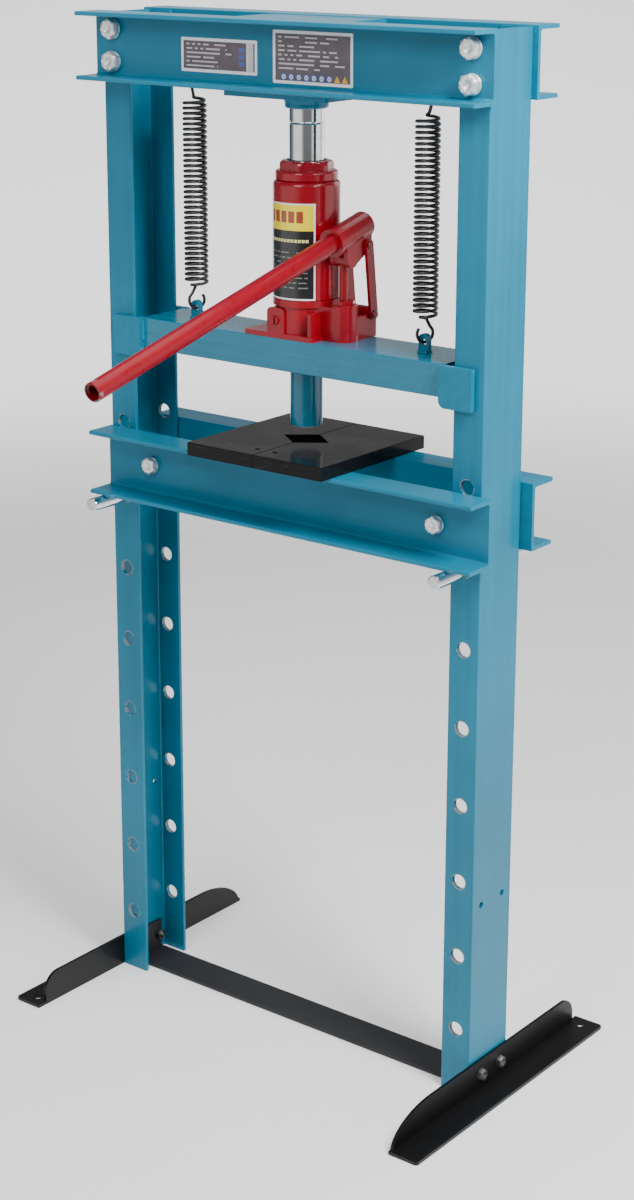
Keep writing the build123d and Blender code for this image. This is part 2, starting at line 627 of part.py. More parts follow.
def make_pump():
    floor = jack_floor + PUMP_FLOOR_UP
    bore = PUMP_CYL_BORE
    tube = upright(PUMP_CYL_OD - 4, floor, pump_boss_top, pump_x, PUMP_Y)
    collar = extrude(RegularPolygon(PUMP_CYL_OD / 2, 6, major_radius=False), amount=PUMP_COLLAR_H)
    tube += Pos(pump_x, PUMP_Y, pump_boss_top) * collar
    collar_top = pump_boss_top + PUMP_COLLAR_H
    tube -= upright(bore, floor + 2, pump_boss_top, pump_x, PUMP_Y)
    tube -= upright(PLUNGER_D + 0.2, pump_boss_top - 1, collar_top + 1, pump_x, PUMP_Y)
    save("pump_cylinder", tube)
    eye_y = piston_pin[0] + EYE_OFFSET[0]
    eye_up = piston_pin[1] + EYE_OFFSET[1]
    half_gap = CHEEK_GAP / 2 - SIDE_GAP
    eye_size = [size + 2 * EYE_WALL for size in EYE_SLOT]
    plunger = upright(PLUNGER_D, plunger_foot_z, eye_up, pump_x, PUMP_Y)
    eye = oval_x((pump_x - half_gap, pump_x + half_gap), eye_size, eye_y, eye_up)
    slot = oval_x((pump_x - half_gap - 1, pump_x + half_gap + 1), EYE_SLOT, eye_y, eye_up)
    save("pump_plunger", plunger + eye - slot)
    seal_z = (plunger_foot_z - PLUNGER_SEAL_H, plunger_foot_z)
    save("plunger_seal", upright(bore - 2 * SLIDE_CLEAR, *seal_z, pump_x, PUMP_Y))


def link_bar(x0, x1):
    """One fulcrum link bar between its two pins."""
    (y0, z0), (y1, z1) = link_low, link_top
    length = math.hypot(y1 - y0, z1 - z0)
    lean = math.degrees(math.atan2(y0 - y1, z1 - z0))
    bar = Pos(0, 0, length / 2) * Box(x1 - x0, LINK_W, length)
    for z in (0, length):
        bar += Pos(0, 0, z) * Rot(0, 90, 0) * Cylinder(LINK_W / 2, x1 - x0)
    return Pos((x0 + x1) / 2, y0, z0) * Rot(lean, 0, 0) * bar


def make_handle():
    inner = CHEEK_GAP / 2 + CHEEK_T + SIDE_GAP
    outer = inner + LINK_T
    bars = []
    for low, high in ((pump_x - outer, pump_x - inner), (pump_x + inner, pump_x + outer)):
        bar = link_bar(low, high)
        for y, z in (link_low, link_top):
            bar -= along_x(PIVOT_D, low - 1, high + 1, y, z)
        bars.append(bar)
    save("link_bars", group(bars))
    reach = outer + 2.5
    for name, (y, z) in (("link_lower_pin", link_low), ("link_upper_pin", link_top)):
        pin = along_x(PIVOT_D, pump_x - reach, pump_x + reach, y, z)
        save(name, chamfer(pin.edges().filter_by(GeomType.CIRCLE), 0.8))
    reach = CHEEK_GAP / 2 + CHEEK_T
    save("piston_pin", along_x(PIVOT_D, pump_x - reach, pump_x + reach, *piston_pin))
    save("handle_socket", handle_socket())
    start = SOCKET_BACK - SOCKET_FLOOR - HANDLE_CLEAR
    tube = on_handle(HANDLE_OD, -SOCKET_FRONT - HANDLE_REACH, start)
    bore = on_handle(HANDLE_OD - 2 * HANDLE_WALL, -SOCKET_FRONT - HANDLE_REACH - 1, start + 1)
    save("handle_tube", tube - bore)


def on_handle(diameter, front, back):
    """A cylinder on the handle's centre line; distances from above the link's top pin."""
    y, z = link_top
    piece = Pos(0, (front + back) / 2, SOCKET_RISE) * Rot(90, 0, 0) * Cylinder(diameter / 2, back - front)
    return Pos(pump_x, y, z) * Rot(HANDLE_DOWN, 0, 0) * piece


def handle_socket():
    body = on_handle(SOCKET_OD, -SOCKET_FRONT, SOCKET_BACK)
    back_edge = body.edges().filter_by(GeomType.CIRCLE).sort_by(Axis.Y)[-1]
    body = fillet(back_edge, 5)
    body += on_handle(SOCKET_OD + 2 * SOCKET_LIP, -SOCKET_FRONT, -SOCKET_FRONT + 5)
    (py, pz), (ly, lz) = piston_pin, link_top
    with BuildSketch(Plane.YZ) as cheek:
        with BuildLine():
            Polyline((py - 9, pz), (py - 14, pz + 26), (ly + 9, lz + 22), (ly + 9, lz),
                     (ly, lz - 9), (py, pz - 9), close=True)
        make_face()
        with Locations((py, pz), (ly, lz)):
            Circle(9)
    for side in (-1, 1):
        x = pump_x + side * (CHEEK_GAP / 2 + CHEEK_T / 2) - CHEEK_T / 2
        body += Pos(x, 0, 0) * extrude(cheek.sketch, amount=CHEEK_T)
    body -= on_handle(HANDLE_OD + 2 * HANDLE_CLEAR, -SOCKET_FRONT - 1, SOCKET_BACK - SOCKET_FLOOR)
    body -= along_x(PIVOT_D, pump_x - 30, pump_x + 30, py, pz)
    body -= along_x(PIVOT_D + 2 * PIVOT_CLEAR, pump_x - 30, pump_x + 30, ly, lz)
    return body


def make_fittings():
    front = valve_front - 2
    stem = along_y(VALVE_D, front, valve_back, VALVE_X, valve_level)
    slot = block((VALVE_X - 1.2, VALVE_X + 1.2), (front - 1, front + 4), (valve_level - 8, valve_level + 8))
    save("release_valve", stem - slot)
    half_tank = TANK_OD / 2
    plug = along_y(PLUG_D - 0.6, half_tank - 5, half_tank + 0.4, 0, plug_level)
    head = along_y(PLUG_D + 5, half_tank + 0.4, half_tank + 4, 0, plug_level)
    save("filler_plug", plug + fillet(head.edges().filter_by(GeomType.CIRCLE), 1.2))
    low, high = [beam_top + up for up in LABEL_UP]
    ring = upright(TANK_OD + 2 * LABEL_T, low, high) - upright(TANK_OD, low - 1, high + 1)
    half_sweep = math.radians(LABEL_SWEEP / 2)
    reach = TANK_OD
    side = reach * math.tan(half_sweep)
    with BuildSketch(Plane.XY.offset(low - 1)) as wedge:
        with BuildLine():
            Polyline((0, 0), (-side, -reach), (side, -reach), close=True)
        make_face()
    save("jack_label", ring & extrude(wedge.sketch, amount=high - low + 2))


make_frame()
make_labels()
make_base()
make_bed()
make_beam()
make_jack()
for spring_name, spring_x in (("left", -spring_x), ("right", spring_x)):
    save(f"return_spring_{spring_name}", return_spring(spring_x))
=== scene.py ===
import math
import random
import bpy
from mathutils import Matrix, Vector


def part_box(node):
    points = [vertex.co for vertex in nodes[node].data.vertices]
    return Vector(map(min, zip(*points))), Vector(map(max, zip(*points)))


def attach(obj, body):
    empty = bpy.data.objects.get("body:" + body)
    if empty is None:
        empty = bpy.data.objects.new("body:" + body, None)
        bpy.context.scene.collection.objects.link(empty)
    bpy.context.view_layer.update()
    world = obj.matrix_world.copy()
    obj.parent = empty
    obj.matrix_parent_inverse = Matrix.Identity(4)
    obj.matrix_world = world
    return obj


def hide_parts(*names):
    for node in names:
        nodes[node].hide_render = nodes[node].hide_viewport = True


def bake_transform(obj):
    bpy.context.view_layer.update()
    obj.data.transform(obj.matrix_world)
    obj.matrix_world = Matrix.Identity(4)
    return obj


# A workshop press: two upright channels, bolted head channels, a sprung press beam that
# carries a bottle jack, and a pinned bed.  Metres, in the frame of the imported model.
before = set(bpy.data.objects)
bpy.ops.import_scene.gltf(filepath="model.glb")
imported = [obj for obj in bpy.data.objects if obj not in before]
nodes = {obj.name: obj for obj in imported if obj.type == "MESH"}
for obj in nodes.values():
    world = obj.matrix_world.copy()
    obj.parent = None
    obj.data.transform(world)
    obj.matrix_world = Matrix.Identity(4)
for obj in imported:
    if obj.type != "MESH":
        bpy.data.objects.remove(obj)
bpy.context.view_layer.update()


# ---- Columns: two rolled steel channels, open sides facing each other, spray painted
# blue.  The paint is glossy with a fine peel, and is rubbed bare round the pin holes.
class Wire:
    """A shader socket that takes part in Python arithmetic."""

    def __init__(self, finish, socket):
        self.finish = finish
        self.socket = socket

    def maths(self, operation, other=None, third=None):
        values = {i: v for i, v in enumerate((self, other, third)) if v is not None}
        return self.finish.node("ShaderNodeMath", {"operation": operation}, values)

    def __add__(self, other):
        return self.maths("ADD", other)

    def __sub__(self, other):
        return self.maths("SUBTRACT", other)

    def __rsub__(self, other):
        return (self * -1.0).maths("ADD", other)

    def __mul__(self, other):
        return self.maths("MULTIPLY", other)

    def __truediv__(self, other):
        return self.maths("DIVIDE", other)

    def __lt__(self, other):
        return self.maths("LESS_THAN", other)

    def __gt__(self, other):
        return self.maths("GREATER_THAN", other)

    __radd__ = __add__
    __rmul__ = __mul__

    def ramp(self, low, high):
        """0 at low, 1 at high, smooth between; low may be the larger."""
        settings = {"interpolation_type": "SMOOTHSTEP"}
        return self.finish.node("ShaderNodeMapRange", settings, {0: self, 1: low, 2: high})


class Finish:
    """One material: a Principled shader and the single method that adds its nodes."""

    def __init__(self, name, **uniform):
        self.material = bpy.data.materials.new(name)
        self.material.use_nodes = True
        self.tree = self.material.node_tree
        self.tree.nodes.clear()
        output = self.tree.nodes.new("ShaderNodeOutputMaterial")
        self.shader = self.tree.nodes.new("ShaderNodeBsdfPrincipled")
        self.tree.links.new(self.shader.outputs[0], output.inputs[0])
        self.coords = self.node("ShaderNodeTexCoord", out="Object")
        for socket, value in uniform.items():
            self.shader.inputs[socket.replace("_", " ")].default_value = value

    def node(self, kind, settings=None, values=None, out=0):
        added = self.tree.nodes.new(kind)
        for setting, value in (settings or {}).items():
            setattr(added, setting, value)
        for socket, value in (values or {}).items():
            if isinstance(value, Wire):
                self.tree.links.new(value.socket, added.inputs[socket])
            else:
                added.inputs[socket].default_value = value
        return Wire(self, added.outputs[out])

    def feed(self, socket, wire):
        self.tree.links.new(wire.socket, self.shader.inputs[socket])

    def noise(self, scale, stretch=(1, 1, 1), detail=3.0, at=(0, 0, 0)):
        moved = self.node("ShaderNodeMapping", None, {0: self.coords, 1: at, 3: stretch})
        return self.node("ShaderNodeTexNoise", None, {"Vector": moved, "Scale": scale, "Detail": detail})

    def axis(self, index):
        return self.node("ShaderNodeSeparateXYZ", None, {0: self.coords}, out=index)

    def blend(self, factor, first, second):
        values = {0: factor, 6: first, 7: second}
        return self.node("ShaderNodeMix", {"data_type": "RGBA"}, values, out=2)

    def bump(self, height, distance, strength=1.0):
        values = {"Height": height, "Distance": distance, "Strength": strength}
        self.feed("Normal", self.node("ShaderNodeBump", None, values))


def painted(name, colour, along=(1, 1, 1), gloss=0.26, coat=0.2, peel=0.00005, spread=1.0):
    """Sprayed enamel over rolled steel; `along` is small on the axis the metal runs."""
    finish = Finish(name, Coat_Weight=coat, Coat_Roughness=0.10, Specular_IOR_Level=0.25)
    deep = [channel * (1 - 0.20 * spread) for channel in colour] + [1.0]
    pale = [channel * (1 + 0.12 * spread) for channel in colour] + [1.0]
    cloud = finish.noise(5.0, detail=4.0).ramp(0.35, 0.65)
    rolled = finish.noise(90.0, stretch=along, detail=2.0).ramp(0.30, 0.70)
    tone = finish.blend(cloud * 0.55 + rolled * 0.30, deep, pale)
    dust = finish.noise(1500.0, detail=1.0).ramp(0.70, 0.80) * (0.25 * spread)
    finish.feed("Base Color", finish.blend(dust, tone, pale))
    finish.feed("Roughness", gloss + 0.10 * finish.noise(30.0) + 0.06 * rolled)
    finish.bump(finish.noise(650.0, detail=1.0) * 0.6 + rolled * 0.5, peel)
    finish.tone = tone
    return finish


def dress(node, finish):
    """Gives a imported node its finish."""
    mesh = nodes[node].data
    mesh.materials.clear()
    mesh.materials.append(finish.material)


FRAME_BLUE = (0.0002, 0.170, 0.280)
HOLE_RADIUS = 0.009
HOLE_PITCH = 0.0952
HOLE_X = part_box("bed_pin_right")[0].x + 0.0085
FIRST_HOLE_Z = 0.082
column_paint = painted("column_paint", FRAME_BLUE, along=(1, 1, 0.03))
wrapped = (column_paint.axis(2) - (FIRST_HOLE_Z - HOLE_PITCH)).maths("MODULO", HOLE_PITCH)
hole_row = wrapped.maths("MINIMUM", HOLE_PITCH - wrapped)
hole_side = column_paint.axis(0).maths("ABSOLUTE") - HOLE_X
hole_distance = (hole_row * hole_row + hole_side * hole_side).maths("SQRT")
chip_edge = HOLE_RADIUS + 0.0003 + 0.0016 * column_paint.noise(260.0)
bare = (hole_distance < chip_edge) * (column_paint.noise(120.0, at=(3, 1, 0)) > 0.46)
bare = bare * (column_paint.axis(2) < FIRST_HOLE_Z + 7.5 * HOLE_PITCH)
column_paint.feed("Base Color", column_paint.blend(bare, column_paint.tone, (0.20, 0.22, 0.24, 1)))
for side in ("left", "right"):
    dress(f"column_{side}", column_paint)

# ---- Head: two channels back to back across the column tops, a top plate between them,
# a seat plate under them, and a turned ring that the ram's screw stands in.
rail_paint = painted("rail_paint", FRAME_BLUE, along=(0.03, 1, 1))
for node in ("head_channel_front", "head_channel_rear", "head_top_plate"):
    dress(node, rail_paint)
plate_paint = painted("plate_paint", FRAME_BLUE, along=(1, 0.2, 1), gloss=0.26)
for node in ("head_seat_plate", "guide_plates", "spring_eye_left", "spring_eye_right"):
    dress(node, plate_paint)
for node in ("spring_anchor_left", "spring_anchor_right"):
    dress(node, plate_paint)


def hex_radius(turn, flats):
    """Distance from a hexagon's centre to its side in the direction `turn`."""
    return flats / 2 / math.cos((turn + math.pi / 6) % (math.pi / 3) - math.pi / 6)


HOLD = 0.0003


def held(profile, closed):
    """Adds a point close to each end of a long straight, so its shading stays flat."""
    points = []
    nexts = profile[1:] + (profile[:1] if closed else [])
    for point, after in zip(profile, nexts):
        points.append(point)
        run, rise = after[0] - point[0], after[1] - point[1]
        length = math.hypot(run, rise)
        if length > 10 * HOLD and len(point) == 2 and len(after) == 2:
            for share in (HOLD / length, 1 - HOLD / length):
                points.append((point[0] + run * share, point[1] + rise * share))
    return points if closed else points + [profile[-1]]


def turned(profile, steps=96, flats=None, closed=False):
    """Vertices and faces of a profile of (radius, height) points turned about Z.

    A point with a third item is cut to a hexagon.  A radius of 0 makes a pole."""
    rings, places = [], []
    profile = held(profile, closed)
    for point in profile:
        radius, height = point[0], point[1]
        if radius == 0:
            rings.append([len(places)])
            places.append((0, 0, height))
            continue
        ring = []
        for step in range(steps):
            turn = 2 * math.pi * step / steps
            reach = min(radius, hex_radius(turn, flats)) if len(point) > 2 else radius
            ring.append(len(places))
            places.append((reach * math.cos(turn), reach * math.sin(turn), height))
        rings.append(ring)
    faces = []
    pairs = list(zip(rings, rings[1:] + rings[:1] if closed else rings[1:]))
    for low, high in pairs:
        for step in range(steps):
            after = (step + 1) % steps
            if len(low) == 1:
                faces.append((low[0], high[after], high[step]))
            elif len(high) == 1:
                faces.append((low[step], low[after], high[0]))
            else:
                faces.append((low[step], low[after], high[after], high[step]))
    return places, faces


def solid(name, parts, place=None, sharp=20):
    """A mesh object from one or more (vertices, faces) shells, with its place applied."""
    places, faces = [], []
    for shell_places, shell_faces in parts:
        start = len(places)
        places += shell_places
        faces += [tuple(start + corner for corner in face) for face in shell_faces]
    mesh = bpy.data.meshes.new(name)
    mesh.from_pydata(places, [], faces)
    mesh.validate()
    if place:
        mesh.transform(place)
    mesh.polygons.foreach_set("use_smooth", [True] * len(mesh.polygons))
    mesh.set_sharp_from_angle(angle=math.radians(sharp))
    piece = bpy.data.objects.new(name, mesh)
    bpy.context.scene.collection.objects.link(piece)
    return piece


def fit(piece, finish, slot, body, *replaced):
    """Paints a finished piece, joins it to its body and hides the nodes it stands for."""
    piece.data.materials.clear()
    piece.data.materials.append(finish.material)
    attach(piece, body)
    if replaced:
        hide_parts(*replaced)
    return piece


ring_low, ring_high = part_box("ram_seat_ring")
RING_OUTER = (ring_high.x - ring_low.x) / 2
RING_BORE = 0.0215
EASE = 0.0012
FLARE = 0.0040
ring_profile = [
    (RING_OUTER, ring_high.z - 2.2 * FLARE), (RING_OUTER + 0.3 * FLARE, ring_high.z - FLARE),
    (RING_OUTER + FLARE, ring_high.z), (RING_BORE, ring_high.z), (RING_BORE, ring_low.z + EASE),
    (RING_BORE + EASE, ring_low.z), (RING_OUTER - 2 * EASE, ring_low.z),
    (RING_OUTER - 0.6 * EASE, ring_low.z + 0.6 * EASE), (RING_OUTER, ring_low.z + 2 * EASE),
]
ring = solid("seat_ring", [turned(ring_profile, closed=True)])
fit(ring, plate_paint, "frame_paint", "frame", "ram_seat_ring")


# ---- Welds: a hand-run bead wherever two frame plates meet, painted over with them.
# Each bead is swept along its joint, swelling slightly at every ripple of the arc.
def sweep_tree():
    """Geometry Nodes: a rod swept along the input edges, with ripples along it."""
    tree = bpy.data.node_groups.new("swept_rod", "GeometryNodeTree")
    sockets = (("Path", "Geometry"), ("Radius", "Float"), ("Ripple", "Float"),
               ("Ripple Pitch", "Float"), ("Spacing", "Float"), ("Sides", "Int"),
               ("Finish", "Material"))
    for name, kind in sockets:
        tree.interface.new_socket(name, in_out="INPUT", socket_type=f"NodeSocket{kind}")
    tree.interface.new_socket("Rod", in_out="OUTPUT", socket_type="NodeSocketGeometry")

    def add(kind, values=None, **settings):
        node = tree.nodes.new(kind)
        for setting, value in settings.items():
            setattr(node, setting, value)
        for socket, value in (values or {}).items():
            if isinstance(value, bpy.types.NodeSocket):
                tree.links.new(value, node.inputs[socket])
            else:
                node.inputs[socket].default_value = value
        return node.outputs

    given = tree.nodes.new("NodeGroupInput").outputs
    curve = add("GeometryNodeMeshToCurve", {0: given["Path"]})[0]
    resample = {"Curve": curve, "Length": given["Spacing"]}
    even = add("GeometryNodeResampleCurve", resample, mode="LENGTH")[0]
    length = add("GeometryNodeSplineParameter")["Length"]
    turns = add("ShaderNodeMath", {0: length, 1: given["Ripple Pitch"]}, operation="DIVIDE")[0]
    angle = add("ShaderNodeMath", {0: turns, 1: 2 * math.pi}, operation="MULTIPLY")[0]
    wave = add("ShaderNodeMath", {0: angle}, operation="SINE")[0]
    swell = add("ShaderNodeMath", {0: wave, 1: given["Ripple"], 2: 1.0}, operation="MULTIPLY_ADD")[0]
    radius = add("ShaderNodeMath", {0: swell, 1: given["Radius"]}, operation="MULTIPLY")[0]
    circle = {"Resolution": given["Sides"], "Radius": 1.0}
    profile = add("GeometryNodeCurvePrimitiveCircle", circle)[0]
    to_mesh = {"Curve": even, "Profile Curve": profile, "Scale": radius, "Fill Caps": True}
    rod = add("GeometryNodeCurveToMesh", to_mesh)[0]
    whole = add("GeometryNodeRealizeInstances", {0: rod})[0]
    painted_rod = add("GeometryNodeSetMaterial", {"Geometry": whole, "Material": given["Finish"]})[0]
    result = tree.nodes.new("NodeGroupOutput")
    tree.links.new(painted_rod, result.inputs[0])
    return tree


def grown(piece, tree, inputs):
    """Runs a Geometry Nodes tree on a piece and keeps the plain mesh it gives."""
    modifier = piece.modifiers.new(tree.name, "NODES")
    modifier.node_group = tree
    for item in tree.interface.items_tree:
        if item.in_out == "INPUT" and item.name in inputs:
            modifier[item.identifier] = inputs[item.name]
    bpy.context.view_layer.update()
    graph = bpy.context.evaluated_depsgraph_get()
    mesh = bpy.data.meshes.new_from_object(piece.evaluated_get(graph))
    piece.modifiers.clear()
    piece.data = mesh
    mesh.polygons.foreach_set("use_smooth", [True] * len(mesh.polygons))
    mesh.set_sharp_from_angle(angle=math.radians(50))
    return piece


def path_mesh(name, paths):
    """A mesh of edges from (points, is_loop) paths."""
    places, edges = [], []
    for points, is_loop in paths:
        start = len(places)
        places += [tuple(point) for point in points]
        edges += [(start + i, start + i + 1) for i in range(len(points) - 1)]
        if is_loop:
            edges.append((len(places) - 1, start))
    mesh = bpy.data.meshes.new(name)
    mesh.from_pydata(places, edges, [])
    piece = bpy.data.objects.new(name, mesh)
    bpy.context.scene.collection.objects.link(piece)
    return piece


swept_rod = sweep_tree()


def weld(name, paths, finish, slot, body, radius=0.0024):
    inputs = {"Radius": radius, "Ripple": 0.13, "Ripple Pitch": 0.0032, "Spacing": 0.0008,
              "Sides": 8, "Finish": finish.material}
    return fit(grown(path_mesh(name, paths), swept_rod, inputs), finish, slot, body)


def circle_points(radius, height, centre=(0, 0), steps=64):
    turns = [2 * math.pi * step / steps for step in range(steps)]
    return [(centre[0] + radius * math.cos(t), centre[1] + radius * math.sin(t), height) for t in turns]


seat_low, seat_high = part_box("head_seat_plate")
top_low, top_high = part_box("head_top_plate")
column_low, column_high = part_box("column_right")
WEB_Y = column_high.y
head_welds = [(circle_points(RING_OUTER + FLARE, seat_low.z - 0.0014), True)]
for y in (-WEB_Y + 0.001, WEB_Y - 0.001):
    ends = (top_low.x + 0.004, top_high.x - 0.004)
    head_welds.append(([(x, y, top_high.z - 0.0019) for x in ends], False))
    ends = (seat_low.x + 0.002, seat_high.x - 0.002)
    head_welds.append(([(x, y * 1.10, seat_high.z + 0.0002) for x in ends], False))
for x in (seat_low.x, seat_high.x):
    for y in (-1, 1):
        ends = (y * (WEB_Y + 0.002), y * (WEB_Y + 0.018))
        head_welds.append(([(x, end, seat_high.z) for end in ends], False))
weld("head_welds", head_welds, plate_paint, "frame_paint", "frame")
beam_low, beam_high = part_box("press_beam")
guide_low, guide_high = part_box("guide_plates")
beam_welds = []
for side_x in (-1, 1):
    for side_y in (-1, 1):
        x = side_x * (beam_high.x - 0.002)
        y = side_y * (beam_high.y + 0.0005)
        ends = (guide_high.z - 0.003, guide_low.z + 0.020)
        beam_welds.append(([(x, y, z) for z in ends], False))
        ends = (side_x * (beam_high.x - 0.001), side_x * (beam_high.x + 0.001))
        beam_welds.append(([(side_x * beam_high.x - 0.001, y * 1.005, guide_high.z - 0.0005),
                            (side_x * beam_high.x, y * 1.005, guide_high.z - 0.0005)], False))
for side in ("left", "right"):
    eye_low, eye_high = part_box(f"spring_eye_{side}")
    middle = (eye_low.x + eye_high.x) / 2
    reach = (eye_high.x - eye_low.x) / 2 - 0.0005
    for y in (eye_low.y - 0.0008, eye_high.y + 0.0008):
        ends = (middle - reach, middle + reach)
        beam_welds.append(([(x, y, beam_high.z + 0.0005) for x in ends], False))
weld("beam_welds", beam_welds, plate_paint, "frame_paint", "press_slide", 0.0020)


# ---- Fasteners: zinc-plated hexagon bolts with washers and nuts through the head, the
# bed and the feet.  One bolt of each size is turned, then set at every hole of its row.
def zinc_finish():
    finish = Finish("zinc_plate", Metallic=0.72)
    cloud = finish.noise(180.0, detail=4.0).ramp(0.3, 0.7)
    finish.feed("Base Color", finish.blend(cloud, (0.80, 0.81, 0.82, 1), (0.96, 0.96, 0.94, 1)))
    finish.feed("Roughness", 0.32 + 0.16 * finish.noise(420.0))
    finish.bump(finish.noise(900.0, detail=2.0), 0.00004)
    return finish


zinc = zinc_finish()


def bolt_shells(across, diameter, washer_t, grip, nut_h, tip):
    """Head, washer, shank, nut: closed shells with the bearing face at height 0."""
    head_h = across * 0.40
    corner = across * 0.58
    hexagon = [
        (0, head_h - 0.10 * across), (0.12 * across, head_h - 0.085 * across),
        (0.22 * across, head_h - 0.02 * across), (0.27 * across, head_h),
        (0.46 * across, head_h, 6), (corner, head_h - 0.075 * across, 6),
        (corner, 0.015 * across, 6), (0.47 * across, 0, 6), (0, 0),
    ]
    washer_out, washer_in = across * 0.5 + 0.001, diameter / 2 + 0.0002
    ease = washer_t * 0.25
    washer = [
        (washer_in, 0), (washer_out - ease, 0), (washer_out, -ease),
        (washer_out, -washer_t + ease), (washer_out - ease, -washer_t), (washer_in, -washer_t),
    ]
    end = -washer_t - grip - nut_h - tip
    pitch = diameter * 0.125
    thread_start = -washer_t - grip + pitch
    shank = [(0, 0), (diameter / 2, 0), (diameter / 2, thread_start)]
    height = thread_start
    while height - pitch > end + pitch:
        shank += [(diameter / 2, height - 0.35 * pitch), (diameter * 0.44, height - 0.85 * pitch)]
        height -= pitch
    shank += [(diameter * 0.42, end + 0.3 * pitch), (diameter * 0.36, end), (0, end)]
    nut_top = -washer_t - grip
    nut = [
        (diameter / 2 * 1.01, nut_top), (0.46 * across, nut_top, 6),
        (corner, nut_top - 0.05 * across, 6), (corner, nut_top - nut_h + 0.05 * across, 6),
        (0.46 * across, nut_top - nut_h, 6), (diameter / 2 * 1.12, nut_top - nut_h),
        (diameter / 2 * 1.01, nut_top - nut_h + 0.0012),
    ]
    shells = [turned(hexagon[::-1], 48, across), turned(washer[::-1], 48, closed=True),
              turned(shank[::-1], 32), turned(nut[::-1], 48, across, closed=True)]
    return shells


def spread_tree():
    """Geometry Nodes: one fastener set at every input point, turned by its `turn`."""
    tree = bpy.data.node_groups.new("set_fasteners", "GeometryNodeTree")
    for name, kind in (("Holes", "Geometry"), ("Fastener", "Object"), ("Finish", "Material")):
        tree.interface.new_socket(name, in_out="INPUT", socket_type=f"NodeSocket{kind}")
    tree.interface.new_socket("Set", in_out="OUTPUT", socket_type="NodeSocketGeometry")
    given = tree.nodes.new("NodeGroupInput")
    attribute = tree.nodes.new("GeometryNodeInputNamedAttribute")
    attribute.data_type = "FLOAT_VECTOR"
    attribute.inputs["Name"].default_value = "turn"
    rotation = tree.nodes.new("FunctionNodeEulerToRotation")
    tree.links.new(attribute.outputs[0], rotation.inputs[0])
    source = tree.nodes.new("GeometryNodeObjectInfo")
    tree.links.new(given.outputs["Fastener"], source.inputs["Object"])
    place = tree.nodes.new("GeometryNodeInstanceOnPoints")
    tree.links.new(given.outputs["Holes"], place.inputs["Points"])
    tree.links.new(source.outputs["Geometry"], place.inputs["Instance"])
    tree.links.new(rotation.outputs[0], place.inputs["Rotation"])
    real = tree.nodes.new("GeometryNodeRealizeInstances")
    tree.links.new(place.outputs[0], real.inputs[0])
    paint = tree.nodes.new("GeometryNodeSetMaterial")
    tree.links.new(real.outputs[0], paint.inputs["Geometry"])
    tree.links.new(given.outputs["Finish"], paint.inputs["Material"])
    result = tree.nodes.new("NodeGroupOutput")
    tree.links.new(paint.outputs[0], result.inputs[0])
    return tree


set_fasteners = spread_tree()
spin = random.Random(12)


def fasteners(name, shells, holes, body, finish, *replaced):
    """Sets one turned fastener at each (place, direction its head faces)."""
    sample = solid(f"{name}_sample", shells)
    mesh = bpy.data.meshes.new(name)
    mesh.from_pydata([place for place, _ in holes], [], [])
    turn = mesh.attributes.new("turn", "FLOAT_VECTOR", "POINT")
    for index, (_, facing) in enumerate(holes):
        lay = Vector(facing).to_track_quat("Z", "Y").to_matrix()
        own = Matrix.Rotation(spin.uniform(-0.25, 0.25), 3, "Z")
        turn.data[index].vector = (lay @ own).to_euler()
    piece = bpy.data.objects.new(name, mesh)
    bpy.context.scene.collection.objects.link(piece)
    grown(piece, set_fasteners, {"Fastener": sample, "Finish": finish.material})
    bpy.data.objects.remove(sample)
    return fit(piece, finish, "zinc", body, *replaced)


bolt_low, bolt_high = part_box("head_bolts")
RAIL_T = 0.005
HEAD_BOLT = dict(across=0.022, diameter=0.014, washer_t=0.002, grip=0.010, nut_h=0.011, tip=0.003)
half_span = (bolt_high.z - bolt_low.z) / 2 - 0.0122
bolt_middle = (bolt_high.z + bolt_low.z) / 2
web_face = WEB_Y + RAIL_T
head_holes = []
for x in (-HOLE_X, HOLE_X):
    for z in (bolt_middle - half_span, bolt_middle + half_span):
        for y in (-1, 1):
            head_holes.append(((x, y * (web_face + HEAD_BOLT["washer_t"]), z), (0, y, 0)))
fasteners("head_fasteners", bolt_shells(**HEAD_BOLT), head_holes, "frame", zinc,
          "head_bolts", "head_washers", "head_nuts")
spacer_low, spacer_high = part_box("bed_spacers")
bed_face = spacer_high.y + RAIL_T
BED_BOLT = dict(across=0.019, diameter=0.012, washer_t=0.002, nut_h=0.010, tip=0.004)
SPACER_RADIUS = 0.00975
bed_bolt_z = (spacer_low.z + spacer_high.z) / 2
bed_holes = [((x, -bed_face - BED_BOLT["washer_t"], bed_bolt_z), (0, -1, 0))
             for x in (spacer_low.x + SPACER_RADIUS, spacer_high.x - SPACER_RADIUS)]
bed_set = bolt_shells(grip=2 * bed_face + BED_BOLT["washer_t"], **BED_BOLT)
fasteners("bed_fasteners", bed_set, bed_holes, "bed", zinc, "bed_bolts", "bed_nuts", "bed_washers")
FOOT_BOLT = dict(across=0.013, diameter=0.008, washer_t=0.0006, nut_h=0.0065, tip=0.003)
foot_low, foot_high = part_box("foot_nuts")
foot_face = column_high.x + 0.004
foot_row = (foot_high.y - 0.0065, (foot_high.z + foot_low.z) / 2)
foot_holes = []
for x in (-1, 1):
    for y in (-foot_row[0], foot_row[0]):
        foot_holes.append(((x * (foot_face + FOOT_BOLT["washer_t"]), y, foot_row[1]), (x, 0, 0)))
foot_set = bolt_shells(grip=0.013, **FOOT_BOLT)
dull_zinc = Finish("dull_zinc", Metallic=0.8)
tarnish = dull_zinc.noise(200.0, detail=4.0).ramp(0.3, 0.7)
dull_zinc.feed("Base Color", dull_zinc.blend(tarnish, (0.06, 0.06, 0.06, 1), (0.16, 0.16, 0.16, 1)))
dull_zinc.feed("Roughness", 0.34 + 0.20 * dull_zinc.noise(420.0))
dull_zinc.bump(dull_zinc.noise(900.0, detail=2.0), 0.00004)
